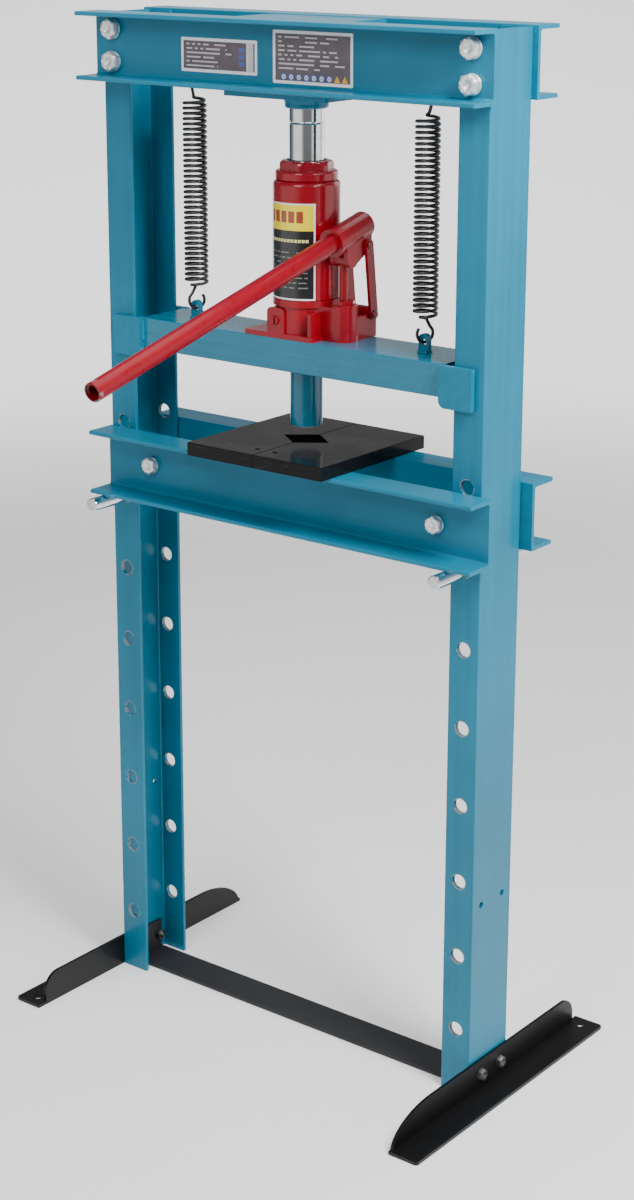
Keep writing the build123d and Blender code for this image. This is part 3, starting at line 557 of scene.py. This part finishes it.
fasteners("foot_fasteners", foot_set, foot_holes, "frame", dull_zinc, "foot_bolts", "foot_nuts")
dress("bed_spacers", zinc)


# ---- Head labels: two printed foil labels on the front channel.  Pale border, dark
# field, rows of plain marks in place of words, and a line of plain round and three-cornered signs.
def printed(name, low, high, rows, signs, side_panel):
    """A label's finish; its marks are laid out from the label's own corners."""
    finish = Finish(name, Roughness=0.38, Coat_Weight=0.25, Coat_Roughness=0.2)
    wide, tall = high.x - low.x, high.z - low.z
    across = finish.axis(0) - low.x
    up = finish.axis(2) - low.z
    margin = 0.0035
    inside = (across > margin) * (across < wide - margin) * (up > margin) * (up < tall - margin)
    field = finish.blend(finish.noise(60.0).ramp(0.3, 0.7), (0.085, 0.062, 0.075, 1), (0.12, 0.088, 0.10, 1))
    colour = finish.blend(inside, (0.92, 0.92, 0.94, 1), field)
    pitch = tall / rows
    row = up / pitch
    number = row.maths("FLOOR")
    in_row = row - number
    value = finish.node("ShaderNodeCombineXYZ", None, {1: number * 7.3, 0: (across / 0.0042).maths("FLOOR")})
    random_cell = finish.node("ShaderNodeTexWhiteNoise", {"noise_dimensions": "3D"}, {0: value})
    value = finish.node("ShaderNodeCombineXYZ", None, {1: number})
    random_row = finish.node("ShaderNodeTexWhiteNoise", {"noise_dimensions": "3D"}, {0: value})
    ends = (across > 2.2 * margin) * (across < (0.50 + 0.42 * random_row) * wide * side_panel)
    tops = (in_row > 0.30) * (in_row < 0.66) * (up > tall * signs[1] * 2.0) * (up < tall - 1.8 * margin)
    marks = ends * tops * (random_cell > 0.20)
    colour = finish.blend(marks * 0.75, colour, (0.70, 0.68, 0.71, 1))
    count, height = signs[0], tall * signs[1]
    if count:
        cell = (across - 0.09 * wide) / (0.86 * wide / count)
        spot = cell.maths("FRACT") - 0.5
        dx = spot * (0.86 * wide / count)
        dz = up - height
        radius = (dx * dx + dz * dz).maths("SQRT")
        row_ends = (cell > 0.0) * (cell < float(count))
        discs = (radius < 0.0042) * row_ends * (cell < count - 2.0)
        ring_mark = (radius < 0.0028) * (radius > 0.0010) * row_ends * (cell < count - 2.0)
        colour = finish.blend(discs, colour, (0.05, 0.09, 0.36, 1))
        colour = finish.blend(ring_mark, colour, (0.7, 0.72, 0.8, 1))
        slope = (dx.maths("ABSOLUTE") * 1.73 + dz) < 0.0042
        signs_mask = slope * (dz > -0.0034) * (cell > count - 2.0) * (cell < float(count))
        colour = finish.blend(signs_mask, colour, (0.80, 0.42, 0.03, 1))
    if side_panel < 1:
        edge = wide * 0.86
        panel = (across > edge) * (across < wide - 1.6 * margin) * inside
        bars = (up / 0.0022).maths("FRACT") > 0.45
        colour = finish.blend(panel, colour, (0.70, 0.70, 0.73, 1))
        colour = finish.blend(panel * bars * (across > edge + 0.003) * 0.6, colour, (0.30, 0.28, 0.32, 1))
        strip = (across > wide * 0.76) * (across < wide * 0.83) * (up > 0.2 * tall) * (up < 0.8 * tall)
        spots = (up / (0.2 * tall)).maths("FRACT") - 0.5
        colour = finish.blend(strip * (spots.maths("ABSOLUTE") < 0.33), colour, (0.06, 0.10, 0.38, 1))
    finish.feed("Base Color", colour)
    finish.bump(finish.noise(300.0), 0.00002)
    return finish


def label_sheet(name, low, high, corner=0.0015, steps=6):
    """A thin foil with rounded corners, standing on the channel's face."""
    outline = []
    left, right = low.x + corner, high.x - corner
    bottom, top = low.z + corner, high.z - corner
    corners = ((right, top, 0), (left, top, 90), (left, bottom, 180), (right, bottom, 270))
    for centre_x, centre_z, start in corners:
        for step in range(steps + 1):
            turn = math.radians(start + 90 * step / steps)
            outline.append((centre_x + corner * math.cos(turn), centre_z + corner * math.sin(turn)))
    count = len(outline)
    places = [(x, low.y, z) for x, z in outline] + [(x, high.y, z) for x, z in outline]
    faces = [tuple(range(count - 1, -1, -1)), tuple(range(count, 2 * count))]
    for index in range(count):
        after = (index + 1) % count
        faces.append((index, after, count + after, count + index))
    return places, faces


HEAD_LABELS = (("rating_label", 8, (0, 0.05), 0.74), ("instruction_label", 12, (9, 0.13), 1.0))
for node, rows, signs, side_panel in HEAD_LABELS:
    low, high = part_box(node)
    sheet = solid(f"{node}_foil", [label_sheet(node, low, high)])
    fit(sheet, printed(f"{node}_print", low, high, rows, signs, side_panel), "head_label", "frame", node)

# ---- Feet and cross brace: angle-iron feet in black satin enamel, and a grey flat bar
# with turned-up ends bolted between the columns at the floor.
foot_paint = painted("foot_paint", (0.0035, 0.0035, 0.004), along=(1, 0.05, 1), gloss=0.34, coat=0.1)
brace_paint = painted("brace_paint", (0.026, 0.027, 0.030), along=(0.05, 1, 1), gloss=0.42, coat=0.05)
for side in ("left", "right"):
    dress(f"foot_{side}", foot_paint)
dress("cross_brace", brace_paint)

# ---- Press beam: a wide channel lying flanges down, with guide plates that overlap the
# columns and a round push rod under it.  The rod's end is worn bright by the work.
beam_paint = painted("beam_paint", FRAME_BLUE, along=(0.03, 1, 1), gloss=0.20, coat=0.7)
dress("press_beam", beam_paint)
rod_low, rod_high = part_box("push_rod")
ROD_RADIUS = (rod_high.x - rod_low.x) / 2
rod_paint = painted("rod_paint", FRAME_BLUE, along=(1, 1, 0.2), gloss=0.18, coat=0.8)
worn = rod_paint.axis(2) < rod_low.z + 0.0012 + 0.0010 * rod_paint.noise(300.0)
rod_paint.feed("Base Color", rod_paint.blend(worn, rod_paint.tone, (0.30, 0.31, 0.32, 1)))
rod_profile = [
    (0, rod_low.z), (ROD_RADIUS - 0.0020, rod_low.z), (ROD_RADIUS - 0.0007, rod_low.z + 0.0005),
    (ROD_RADIUS, rod_low.z + 0.0018), (ROD_RADIUS, rod_high.z), (0, rod_high.z),
]
fit(solid("push_rod_turned", [turned(rod_profile)]), rod_paint, "frame_paint", "press_slide", "push_rod")
collar_low, collar_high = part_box("push_rod_collar")
collar_r = (collar_high.x - collar_low.x) / 2
collar_profile = [
    (ROD_RADIUS, collar_high.z), (ROD_RADIUS, collar_low.z), (collar_r - 0.0015, collar_low.z),
    (collar_r, collar_low.z + 0.0015), (collar_r, collar_high.z),
]
collar = solid("rod_collar", [turned(collar_profile, closed=True)])
fit(collar, rod_paint, "frame_paint", "press_slide", "push_rod_collar")

# ---- Return springs: two black extension springs that pull the beam up.  Each is one
# wire: a hook over a rod in the head, the close coils, and a hook through the beam's eye.
spring_black = Finish("spring_black", Coat_Weight=0.35, Coat_Roughness=0.2)
spring_tone = spring_black.noise(140.0).ramp(0.3, 0.7)
spring_mix = spring_black.blend(spring_tone, (0.006, 0.006, 0.007, 1), (0.018, 0.018, 0.020, 1))
spring_black.feed("Base Color", spring_mix)
spring_black.feed("Roughness", 0.26 + 0.22 * spring_black.noise(300.0))
spring_black.bump(spring_black.noise(800.0), 0.00004)
WIRE_RADIUS = 0.0020
COIL_TURNS = 35
HOOK_RADIUS = 0.0062
LOWER_HOOK = 0.0098
HOOK_TURN = (0.50, 0.866)


def spring_wire(x, hand, coil_low, coil_high, coil_radius, eye_z, anchor_z):
    """Points of the wire's centre line from the eye up to the anchor rod."""
    points = []
    across, along = HOOK_TURN
    bend = [math.radians(40 - 220 * step / 14) for step in range(15)]
    lower = [(LOWER_HOOK * math.cos(turn), LOWER_HOOK * math.sin(turn)) for turn in bend]
    lower += [(-LOWER_HOOK * 0.94, 0.0045), (-LOWER_HOOK * 0.60, 0.0085)]
    for reach, rise in lower:
        out = -hand * reach
        points.append((x + out * across, out * along, eye_z + LOWER_HOOK + rise))
    points.append((x + hand * 0.001, 0, coil_low - 0.004))
    per_turn = 24
    lead = per_turn // 2
    total = COIL_TURNS * per_turn
    for step in range(-lead, total + lead + 1):
        share = min(1.0, max(0.0, step / total))
        outside = max(0, -step, step - total) / lead
        radius = coil_radius * (1 - 0.92 * outside ** 1.5)
        turn = 2 * math.pi * step / per_turn
        rise = 0.0045 * outside * (1 if step > 0 else -1)
        height = coil_low + (coil_high - coil_low) * share + rise
        points.append((x + radius * math.cos(turn), radius * math.sin(turn), height))
    points.append((x + hand * 0.002, 0, coil_high + 0.008))
    points.append((x + hand * HOOK_RADIUS, 0, anchor_z - 0.006))
    for step in range(13):
        turn = math.radians(180 - 220 * step / 12)
        reach, rise = HOOK_RADIUS * math.cos(turn), HOOK_RADIUS * math.sin(turn)
        points.append((x - hand * reach, 0, anchor_z - 0.0002 + rise))
    return points


for side in ("left", "right"):
    low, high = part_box(f"return_spring_{side}")
    eye_low, eye_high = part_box(f"spring_eye_{side}")
    anchor_low, anchor_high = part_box(f"spring_anchor_{side}")
    anchor_z = (anchor_low.z + anchor_high.z) / 2
    eye_z = eye_low.z + 0.012
    middle = (low.x + high.x) / 2
    coil_radius = (high.x - low.x) / 2 - WIRE_RADIUS
    coil_low, coil_high = eye_z + 0.032, anchor_z - 0.030
    hand = 1 if middle > 0 else -1
    wire = spring_wire(middle, hand, coil_low, coil_high, coil_radius, eye_z, anchor_z)
    piece = path_mesh(f"return_spring_{side}_coils", [(wire, False)])
    inputs = {"Radius": WIRE_RADIUS, "Ripple": 0.0, "Ripple Pitch": 1.0, "Spacing": 0.0026, "Sides": 8,
              "Finish": spring_black.material}
    grown(piece, swept_rod, inputs)
    piece.data.materials.clear()
    piece.data.materials.append(spring_black.material)
    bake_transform(piece)
    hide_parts(f"return_spring_{side}")

# ---- Bottle jack body: an iron casting, a drawn steel reservoir with a rounded shoulder,
# a stepped cap and a hexagon gland nut, all in red enamel.
JACK_RED = (0.27, 0.0008, 0.009)
jack_paint = painted("jack_paint", JACK_RED, along=(1, 1, 0.4), gloss=0.18, coat=0.6, spread=0.5)
cast_paint = painted("cast_jack_paint", JACK_RED, gloss=0.26, coat=0.5, peel=0.00025, spread=0.8)
dress("jack_base", cast_paint)
tank_low, tank_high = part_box("jack_reservoir")
SOCKET_ROOM = 0.0002
TANK_RADIUS = tank_high.x - SOCKET_ROOM
BORE_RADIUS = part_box("jack_cylinder")[1].x


def shoulder(radius, top, round_off, steps=8):
    """The (radius, height) points of a rounded upper edge, from the side inwards."""
    points = []
    for step in range(steps + 1):
        turn = math.radians(90 * step / steps)
        points.append((radius - round_off * (1 - math.cos(turn)), top - round_off * (1 - math.sin(turn))))
    return points


TANK_FOOT_BEVEL = 0.0008
tank_profile = [
    (BORE_RADIUS, tank_low.z), (TANK_RADIUS - TANK_FOOT_BEVEL, tank_low.z),
    (TANK_RADIUS, tank_low.z + TANK_FOOT_BEVEL),
]
tank_profile += shoulder(TANK_RADIUS, tank_high.z, 0.006)
tank_profile.append((BORE_RADIUS, tank_high.z))
tank = solid("reservoir_shell", [turned(tank_profile, 128, closed=True)])
fit(tank, jack_paint, "jack_paint", "press_slide", "jack_reservoir")
cap_low, cap_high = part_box("jack_reservoir_cap")
cap_profile = [(BORE_RADIUS, cap_low.z), (cap_high.x - 0.0010, cap_low.z), (cap_high.x, cap_low.z + 0.0010)]
cap_profile += shoulder(cap_high.x, cap_high.z, 0.0032)
cap_profile.append((BORE_RADIUS, cap_high.z))
cap = solid("reservoir_cap", [turned(cap_profile, 128, closed=True)])
fit(cap, jack_paint, "jack_paint", "press_slide", "jack_reservoir_cap")
gland_low, gland_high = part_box("gland_nut")
GLAND_FLATS = 0.058
GLAND_CORNER = 0.0319
RAM_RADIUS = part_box("ram")[1].x
bore = RAM_RADIUS + 0.0001
gland_profile = [
    (bore, gland_low.z), (0.025, gland_low.z), (0.025, cap_high.z), (GLAND_CORNER, cap_high.z, 6),
    (GLAND_CORNER, gland_high.z - 0.0040, 6), (GLAND_CORNER - 0.0009, gland_high.z - 0.0020, 6),
    (GLAND_CORNER - 0.0028, gland_high.z - 0.0006, 6), (GLAND_CORNER - 0.0045, gland_high.z, 6),
    (0.0240, gland_high.z), (0.0233, gland_high.z - 0.0009), (bore, gland_high.z - 0.0009),
]
gland = turned(gland_profile, 120, GLAND_FLATS, closed=True)
gland_piece = solid("gland_hexagon", [gland], Matrix.Rotation(math.radians(22), 4, "Z"))
fit(gland_piece, jack_paint, "jack_paint", "press_slide", "gland_nut")
rubber = Finish("rubber")
rubber_mix = rubber.blend(rubber.noise(90.0), (0.010, 0.010, 0.010, 1), (0.028, 0.027, 0.026, 1))
rubber.feed("Base Color", rubber_mix)
rubber.feed("Roughness", 0.55 + 0.20 * rubber.noise(250.0))
rubber.bump(rubber.noise(1200.0), 0.00004)
wiper_low, wiper_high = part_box("gland_wiper")
WIPER_RADIUS = 0.0229
lip = [
    (bore, wiper_low.z), (WIPER_RADIUS, wiper_low.z), (WIPER_RADIUS, wiper_high.z + 0.0004),
    (bore + 0.0012, wiper_high.z + 0.0010), (bore, wiper_high.z + 0.0018),
]
fit(solid("wiper_lip", [turned(lip, closed=True)]), rubber, "rubber", "press_slide", "gland_wiper")
cast_iron = zinc_finish()
for node in ("jack_cylinder", "ram_piston"):
    dress(node, cast_iron)
for node in ("ram_seal", "plunger_seal"):
    dress(node, rubber)

# ---- Ram and extension screw: ground and hard-chromed, standing still while the jack
# body moves.  The screw's head is turned with a chamfer and stands in the seat ring.
chrome = Finish("hard_chrome", Metallic=1.0)
rings = chrome.noise(1500.0, stretch=(0.02, 0.02, 1.0), detail=2.0)
film = chrome.noise(45.0, detail=4.0).ramp(0.40, 0.75)
chrome.feed("Base Color", chrome.blend(film, (0.80, 0.81, 0.83, 1), (0.66, 0.66, 0.66, 1)))
chrome.feed("Roughness", 0.05 + 0.05 * rings + 0.06 * film)
chrome.bump(rings, 0.000012)
ram_low, ram_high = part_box("ram")
ram_profile = [
    (0, ram_low.z), (RAM_RADIUS, ram_low.z), (RAM_RADIUS, ram_high.z - 0.0014),
    (RAM_RADIUS - 0.0005, ram_high.z - 0.0004), (RAM_RADIUS - 0.0014, ram_high.z),
    (0.0135, ram_high.z), (0, ram_high.z),
]
fit(solid("ram_ground", [turned(ram_profile)]), chrome, "chrome", "frame", "ram")
screw_low, screw_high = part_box("extension_screw")
pad_low = ram_high.z + 0.0004
SCREW_RADIUS = 0.0130
PAD_BEVEL = 0.0016
pad_profile = [
    (0, ram_high.z - 0.0010), (SCREW_RADIUS, ram_high.z - 0.0010), (SCREW_RADIUS, pad_low),
    (RAM_RADIUS - 0.0014, pad_low), (RAM_RADIUS - 0.0004, pad_low + 0.0004),
    (RAM_RADIUS, pad_low + 0.0014), (RAM_RADIUS, screw_high.z - PAD_BEVEL),
    (RAM_RADIUS - PAD_BEVEL, screw_high.z), (0, screw_high.z),
]
fit(solid("screw_head", [turned(pad_profile)]), chrome, "chrome", "frame", "extension_screw")


# ---- Jack label: a printed wrap on the reservoir, yellow above and black below, with
# plain bars in place of words.
def jack_print(low, high, half_sweep):
    finish = Finish("jack_label_print", Roughness=0.24, Coat_Weight=0.6, Coat_Roughness=0.1)
    turn = finish.axis(0).maths("ARCTAN2", finish.axis(1) * -1.0)
    up = (finish.axis(2) - low.z) / (high.z - low.z)
    inside = (turn.maths("ABSOLUTE") < half_sweep - 0.05) * (up > 0.018) * (up < 0.985)
    band = up > 0.72
    colour = finish.blend(band, (0.010, 0.010, 0.011, 1), (0.84, 0.68, 0.0, 1))
    mark = (turn > -0.62) * (turn < 0.56) * (up > 0.80) * (up < 0.92)
    gaps = ((turn + 1.0) / 0.26).maths("FRACT") > 0.24
    colour = finish.blend(mark * gaps, colour, (0.30, 0.045, 0.02, 1))
    line = (turn.maths("ABSOLUTE") < 0.72) * ((up - 0.615).maths("ABSOLUTE") < 0.016)
    words = ((turn + 1.0) / 0.115).maths("FRACT") > 0.22
    colour = finish.blend(line * words, colour, (0.62, 0.58, 0.22, 1))
    rows = ((up / 0.052).maths("FRACT") - 0.5).maths("ABSOLUTE") < 0.14
    block = (up > 0.10) * (up < 0.50) * (turn.maths("ABSOLUTE") < 0.70)
    word, line = (turn / 0.06).maths("FLOOR"), (up / 0.052).maths("FLOOR")
    cell = finish.node("ShaderNodeCombineXYZ", None, {0: word, 1: line})
    chance = finish.node("ShaderNodeTexWhiteNoise", {"noise_dimensions": "3D"}, {0: cell})
    colour = finish.blend(block * rows * (chance > 0.30) * 0.35, colour, (0.45, 0.45, 0.42, 1))
    finish.feed("Base Color", finish.blend(inside, (0.80, 0.80, 0.80, 1), colour))
    finish.bump(finish.noise(300.0), 0.00002)
    return finish


wrap_low, wrap_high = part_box("jack_label")
HALF_SWEEP = math.radians(53)
WRAP_RADIUS = TANK_RADIUS + 0.0004


def wrapped_sheet(radius, inner, low_z, high_z, half_sweep, steps=48):
    places, faces = [], []
    for step in range(steps + 1):
        turn = -half_sweep + 2 * half_sweep * step / steps
        for reach, z in ((radius, low_z), (radius, high_z), (inner, high_z), (inner, low_z)):
            places.append((reach * math.sin(turn), -reach * math.cos(turn), z))
    for step in range(steps):
        start = 4 * step
        for side_index in range(4):
            after = (side_index + 1) % 4
            faces.append((start + side_index, start + 4 + side_index, start + 4 + after, start + after))
    faces.append((0, 1, 2, 3))
    end = 4 * steps
    faces.append((end + 3, end + 2, end + 1, end))
    return places, faces


wrap_shell = wrapped_sheet(WRAP_RADIUS, TANK_RADIUS, wrap_low.z, wrap_high.z, HALF_SWEEP)
wrap = solid("jack_wrap_label", [wrap_shell])
fit(wrap, jack_print(wrap_low, wrap_high, HALF_SWEEP), "jack_label", "press_slide", "jack_label")

# ---- Pump and handle: a hexagon-collared pump barrel, its plunger, two fulcrum links on
# pins with spring clips, and a socket that takes the loose pump handle.
for node in ("pump_cylinder", "link_bars", "handle_socket", "pump_plunger", "link_lower_pin",
             "link_upper_pin", "piston_pin", "release_valve"):
    dress(node, cast_paint)
dress("filler_plug", rubber)
CLIP_WIRE = 0.0006


def torus_shell(centre, radius, wire, axis_turn, steps=40, sides=8):
    places, faces = [], []
    turn_matrix = Matrix.Rotation(math.radians(90), 3, "Y") if axis_turn == "X" else Matrix.Identity(3)
    for step in range(steps):
        turn = 2 * math.pi * step / steps
        for side_index in range(sides):
            small = 2 * math.pi * side_index / sides
            reach = radius + wire * math.cos(small)
            point = Vector((reach * math.cos(turn), reach * math.sin(turn), wire * math.sin(small)))
            places.append(tuple(Vector(centre) + turn_matrix @ point))
    for step in range(steps):
        for side_index in range(sides):
            a = step * sides + side_index
            b = step * sides + (side_index + 1) % sides
            c = ((step + 1) % steps) * sides + (side_index + 1) % sides
            d = ((step + 1) % steps) * sides + side_index
            faces.append((a, d, c, b))
    return places, faces


for node in ("link_lower_pin", "link_upper_pin"):
    low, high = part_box(node)
    centre_y, centre_z = (low.y + high.y) / 2, (low.z + high.z) / 2
    radius = (high.z - low.z) / 2
    shells = [torus_shell((x, centre_y, centre_z), radius + 0.0002, CLIP_WIRE, "X")
              for x in (low.x + 0.0012, high.x - 0.0012)]
    fit(solid(f"{node}_clips", shells), dull_zinc, "zinc", "link")

tube_low, tube_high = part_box("handle_tube")
TUBE_RADIUS = (tube_high.x - tube_low.x) / 2
TUBE_WALL = 0.0022
HANDLE_DOWN = math.radians(14.6)
tube_axis = Vector((0, -math.cos(HANDLE_DOWN), -math.sin(HANDLE_DOWN)))
rise = TUBE_RADIUS * math.cos(HANDLE_DOWN)
fall = TUBE_RADIUS * math.sin(HANDLE_DOWN)
tube_front = Vector(((tube_low.x + tube_high.x) / 2, tube_low.y + fall, tube_low.z + rise))
tube_back = Vector((tube_front.x, tube_high.y - fall, tube_high.z - rise))
tube_length = (tube_front - tube_back).length
inner = TUBE_RADIUS - TUBE_WALL
half_wall = TUBE_WALL / 2
tube_profile = [(TUBE_RADIUS, 0), (TUBE_RADIUS, tube_length - 0.0008)]
tube_profile += [(TUBE_RADIUS - 0.0003, tube_length - 0.0002), (TUBE_RADIUS - half_wall, tube_length)]
tube_profile += [(inner + 0.0003, tube_length - 0.0002), (inner, tube_length - 0.0008), (inner, 0)]
lay = tube_axis.to_track_quat("Z", "Y").to_matrix().to_4x4()
handle_paint = painted("handle_paint", (0.21, 0.0006, 0.008), gloss=0.22, coat=0.10, spread=0.4)
along_tube = handle_paint.axis(1)
tip_edge = tube_front.y + 0.0030 + 0.004 * handle_paint.noise(160.0)
tip_wear = (along_tube < tip_edge) * (handle_paint.noise(90.0) > 0.55)
handle_paint.feed("Base Color", handle_paint.blend(tip_wear * 0.7, handle_paint.tone, (0.22, 0.20, 0.20, 1)))
handle = solid("pump_handle", [turned(tube_profile, 64, closed=True)], Matrix.Translation(tube_back) @ lay)
fit(handle, handle_paint, "jack_paint", "handle", "handle_tube")

# ---- Bed: two channels with spacer tubes, held on two chromed pins, and two notched
# press plates in black gloss lying on top.
bed_paint = painted("bed_paint", FRAME_BLUE, along=(0.03, 1, 1))
for node in ("bed_channel_front", "bed_channel_rear"):
    dress(node, bed_paint)
PIN_BEVEL = 0.0014
for side in ("left", "right"):
    low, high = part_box(f"bed_pin_{side}")
    radius = (high.x - low.x) / 2
    length = high.y - low.y
    profile = [
        (0, 0), (radius - PIN_BEVEL, 0), (radius - 0.0004, 0.0004), (radius, PIN_BEVEL),
        (radius, length - PIN_BEVEL), (radius - 0.0004, length - 0.0004),
        (radius - PIN_BEVEL, length), (0, length),
    ]
    far_end = ((low.x + high.x) / 2, high.y, (low.z + high.z) / 2)
    place = Matrix.Translation(far_end) @ Matrix.Rotation(math.radians(90), 4, "X")
    pin = solid(f"bed_pin_{side}_ground", [turned(profile, 64)], place)
    fit(pin, chrome, "chrome", f"bed_pin_{side}", f"bed_pin_{side}")
plate_black = Finish("plate_black", Coat_Weight=0.06, Coat_Roughness=0.06, Specular_IOR_Level=0.16)
smear = plate_black.noise(14.0, detail=5.0).ramp(0.40, 0.70)
scuffs = plate_black.noise(700.0, stretch=(0.06, 1, 1), detail=1.0).ramp(0.66, 0.78)
plate_mix = plate_black.blend(scuffs * 0.35, (0.006, 0.006, 0.007, 1), (0.07, 0.07, 0.075, 1))
plate_black.feed("Base Color", plate_mix)
plate_black.feed("Roughness", 0.10 + 0.12 * smear + 0.15 * scuffs)
plate_black.bump(plate_black.noise(500.0, detail=2.0), 0.00003)
for side in ("left", "right"):
    dress(f"press_plate_{side}", plate_black)

# ---- Studio: a pale floor, a broad key light at the right, a fill at the left and a
# soft top light.
floor_mesh = bpy.data.meshes.new("studio_floor")
FLOOR = 4.2
UNDER_FEET = -0.0005
floor_corners = ((-FLOOR, -FLOOR), (FLOOR, -FLOOR), (FLOOR, FLOOR), (-FLOOR, FLOOR))
floor_mesh.from_pydata([(x, y, UNDER_FEET) for x, y in floor_corners], [], [(0, 1, 2, 3)])
floor = bpy.data.objects.new("studio_floor", floor_mesh)
bpy.context.scene.collection.objects.link(floor)
floor_finish = Finish("studio_floor", Roughness=0.70, Emission_Color=(1, 1, 1, 1), Emission_Strength=0.20)
floor_mix = floor_finish.blend(floor_finish.noise(2.0), (0.86, 0.86, 0.86, 1), (0.88, 0.88, 0.88, 1))
floor_finish.feed("Base Color", floor_mix)
floor_reach = floor_finish.node("ShaderNodeVectorMath", {"operation": "LENGTH"}, {0: floor_finish.coords},
                                out=1)
floor_finish.feed("Alpha", floor_reach.ramp(FLOOR - 0.1, 1.9))
floor_mesh.materials.append(floor_finish.material)


def soft_light(name, place, target, size, power, colour=(1, 1, 1)):
    data = bpy.data.lights.new(name, "AREA")
    data.shape = "RECTANGLE"
    data.size, data.size_y = size
    data.energy = power
    data.color = colour
    light = bpy.data.objects.new(name, data)
    light.location = place
    light.rotation_euler = (Vector(target) - Vector(place)).to_track_quat("-Z", "Y").to_euler()
    bpy.context.scene.collection.objects.link(light)


soft_light("key", (1.55, -0.35, 2.15), (0.25, 0, 0.95), (0.7, 0.9), 74)
soft_light("fill", (0.2, -2.0, 2.4), (0, 0, 1.0), (0.9, 0.9), 27)
soft_light("top", (0.2, 0.3, 3.6), (0, 0, 0.6), (3.0, 3.0), 70)
soft_light("rear", (0.6, 3.0, 1.6), (0, 0, 0.8), (2.0, 2.0), 22)
world = bpy.data.worlds.new("studio_air")
world.use_nodes = True
air = world.node_tree
direction = air.nodes.new("ShaderNodeTexCoord").outputs["Generated"]
LEAST_GLOW = 0.20
WALLS = (((-0.52, 0.66, -0.54), 0.66, 0.93, 1.60), ((-0.41, -0.87, -0.26), 0.70, 0.95, 0.90),
         ((0.91, 0.33, -0.26), 0.70, 0.95, 1.30))
glow = None
for toward, edge, full, strength in WALLS:
    facing = air.nodes.new("ShaderNodeVectorMath")
    facing.operation = "DOT_PRODUCT"
    facing.inputs[1].default_value = toward
    air.links.new(direction, facing.inputs[0])
    wall = air.nodes.new("ShaderNodeMapRange")
    wall.interpolation_type = "SMOOTHSTEP"
    for socket, value in ((1, edge), (2, full), (3, 0.0), (4, strength)):
        wall.inputs[socket].default_value = value
    air.links.new(facing.outputs["Value"], wall.inputs[0])
    both = air.nodes.new("ShaderNodeMath")
    both.inputs[1].default_value = LEAST_GLOW
    air.links.new(wall.outputs[0], both.inputs[0])
    if glow:
        air.links.new(glow, both.inputs[1])
    glow = both.outputs[0]
air.links.new(glow, air.nodes["Background"].inputs[1])
air.nodes["Background"].inputs[0].default_value = (1.0, 1.0, 1.0, 1)
bpy.context.scene.world = world

# ---- Camera: standing height, to the right of the press, looking slightly down.
EYE_POINT = Vector((1.60409, -2.04179, 1.39583))
YAW, PITCH, ROLL = math.radians(38.11), math.radians(-15.35), math.radians(0.07)
SENSOR, LENS = 36, 67.2981
SHIFT_X, SHIFT_Y = 0.00745, -0.084108
forward = Vector((-math.sin(YAW) * math.cos(PITCH), math.cos(YAW) * math.cos(PITCH), math.sin(PITCH)))
rightward = Vector((math.cos(YAW), math.sin(YAW), 0))
upward = rightward.cross(forward)
camera_data = bpy.data.cameras.new("camera")
camera_data.sensor_fit = "VERTICAL"
camera_data.sensor_height = SENSOR
camera_data.lens = LENS
camera_data.shift_x = SHIFT_X
camera_data.shift_y = SHIFT_Y
camera = bpy.data.objects.new("camera", camera_data)
turn = Matrix((rightward, upward, -forward)).transposed().to_4x4()
camera.matrix_world = Matrix.Translation(EYE_POINT) @ turn @ Matrix.Rotation(ROLL, 4, "Z")
bpy.context.scene.collection.objects.link(camera)
bpy.context.scene.camera = camera
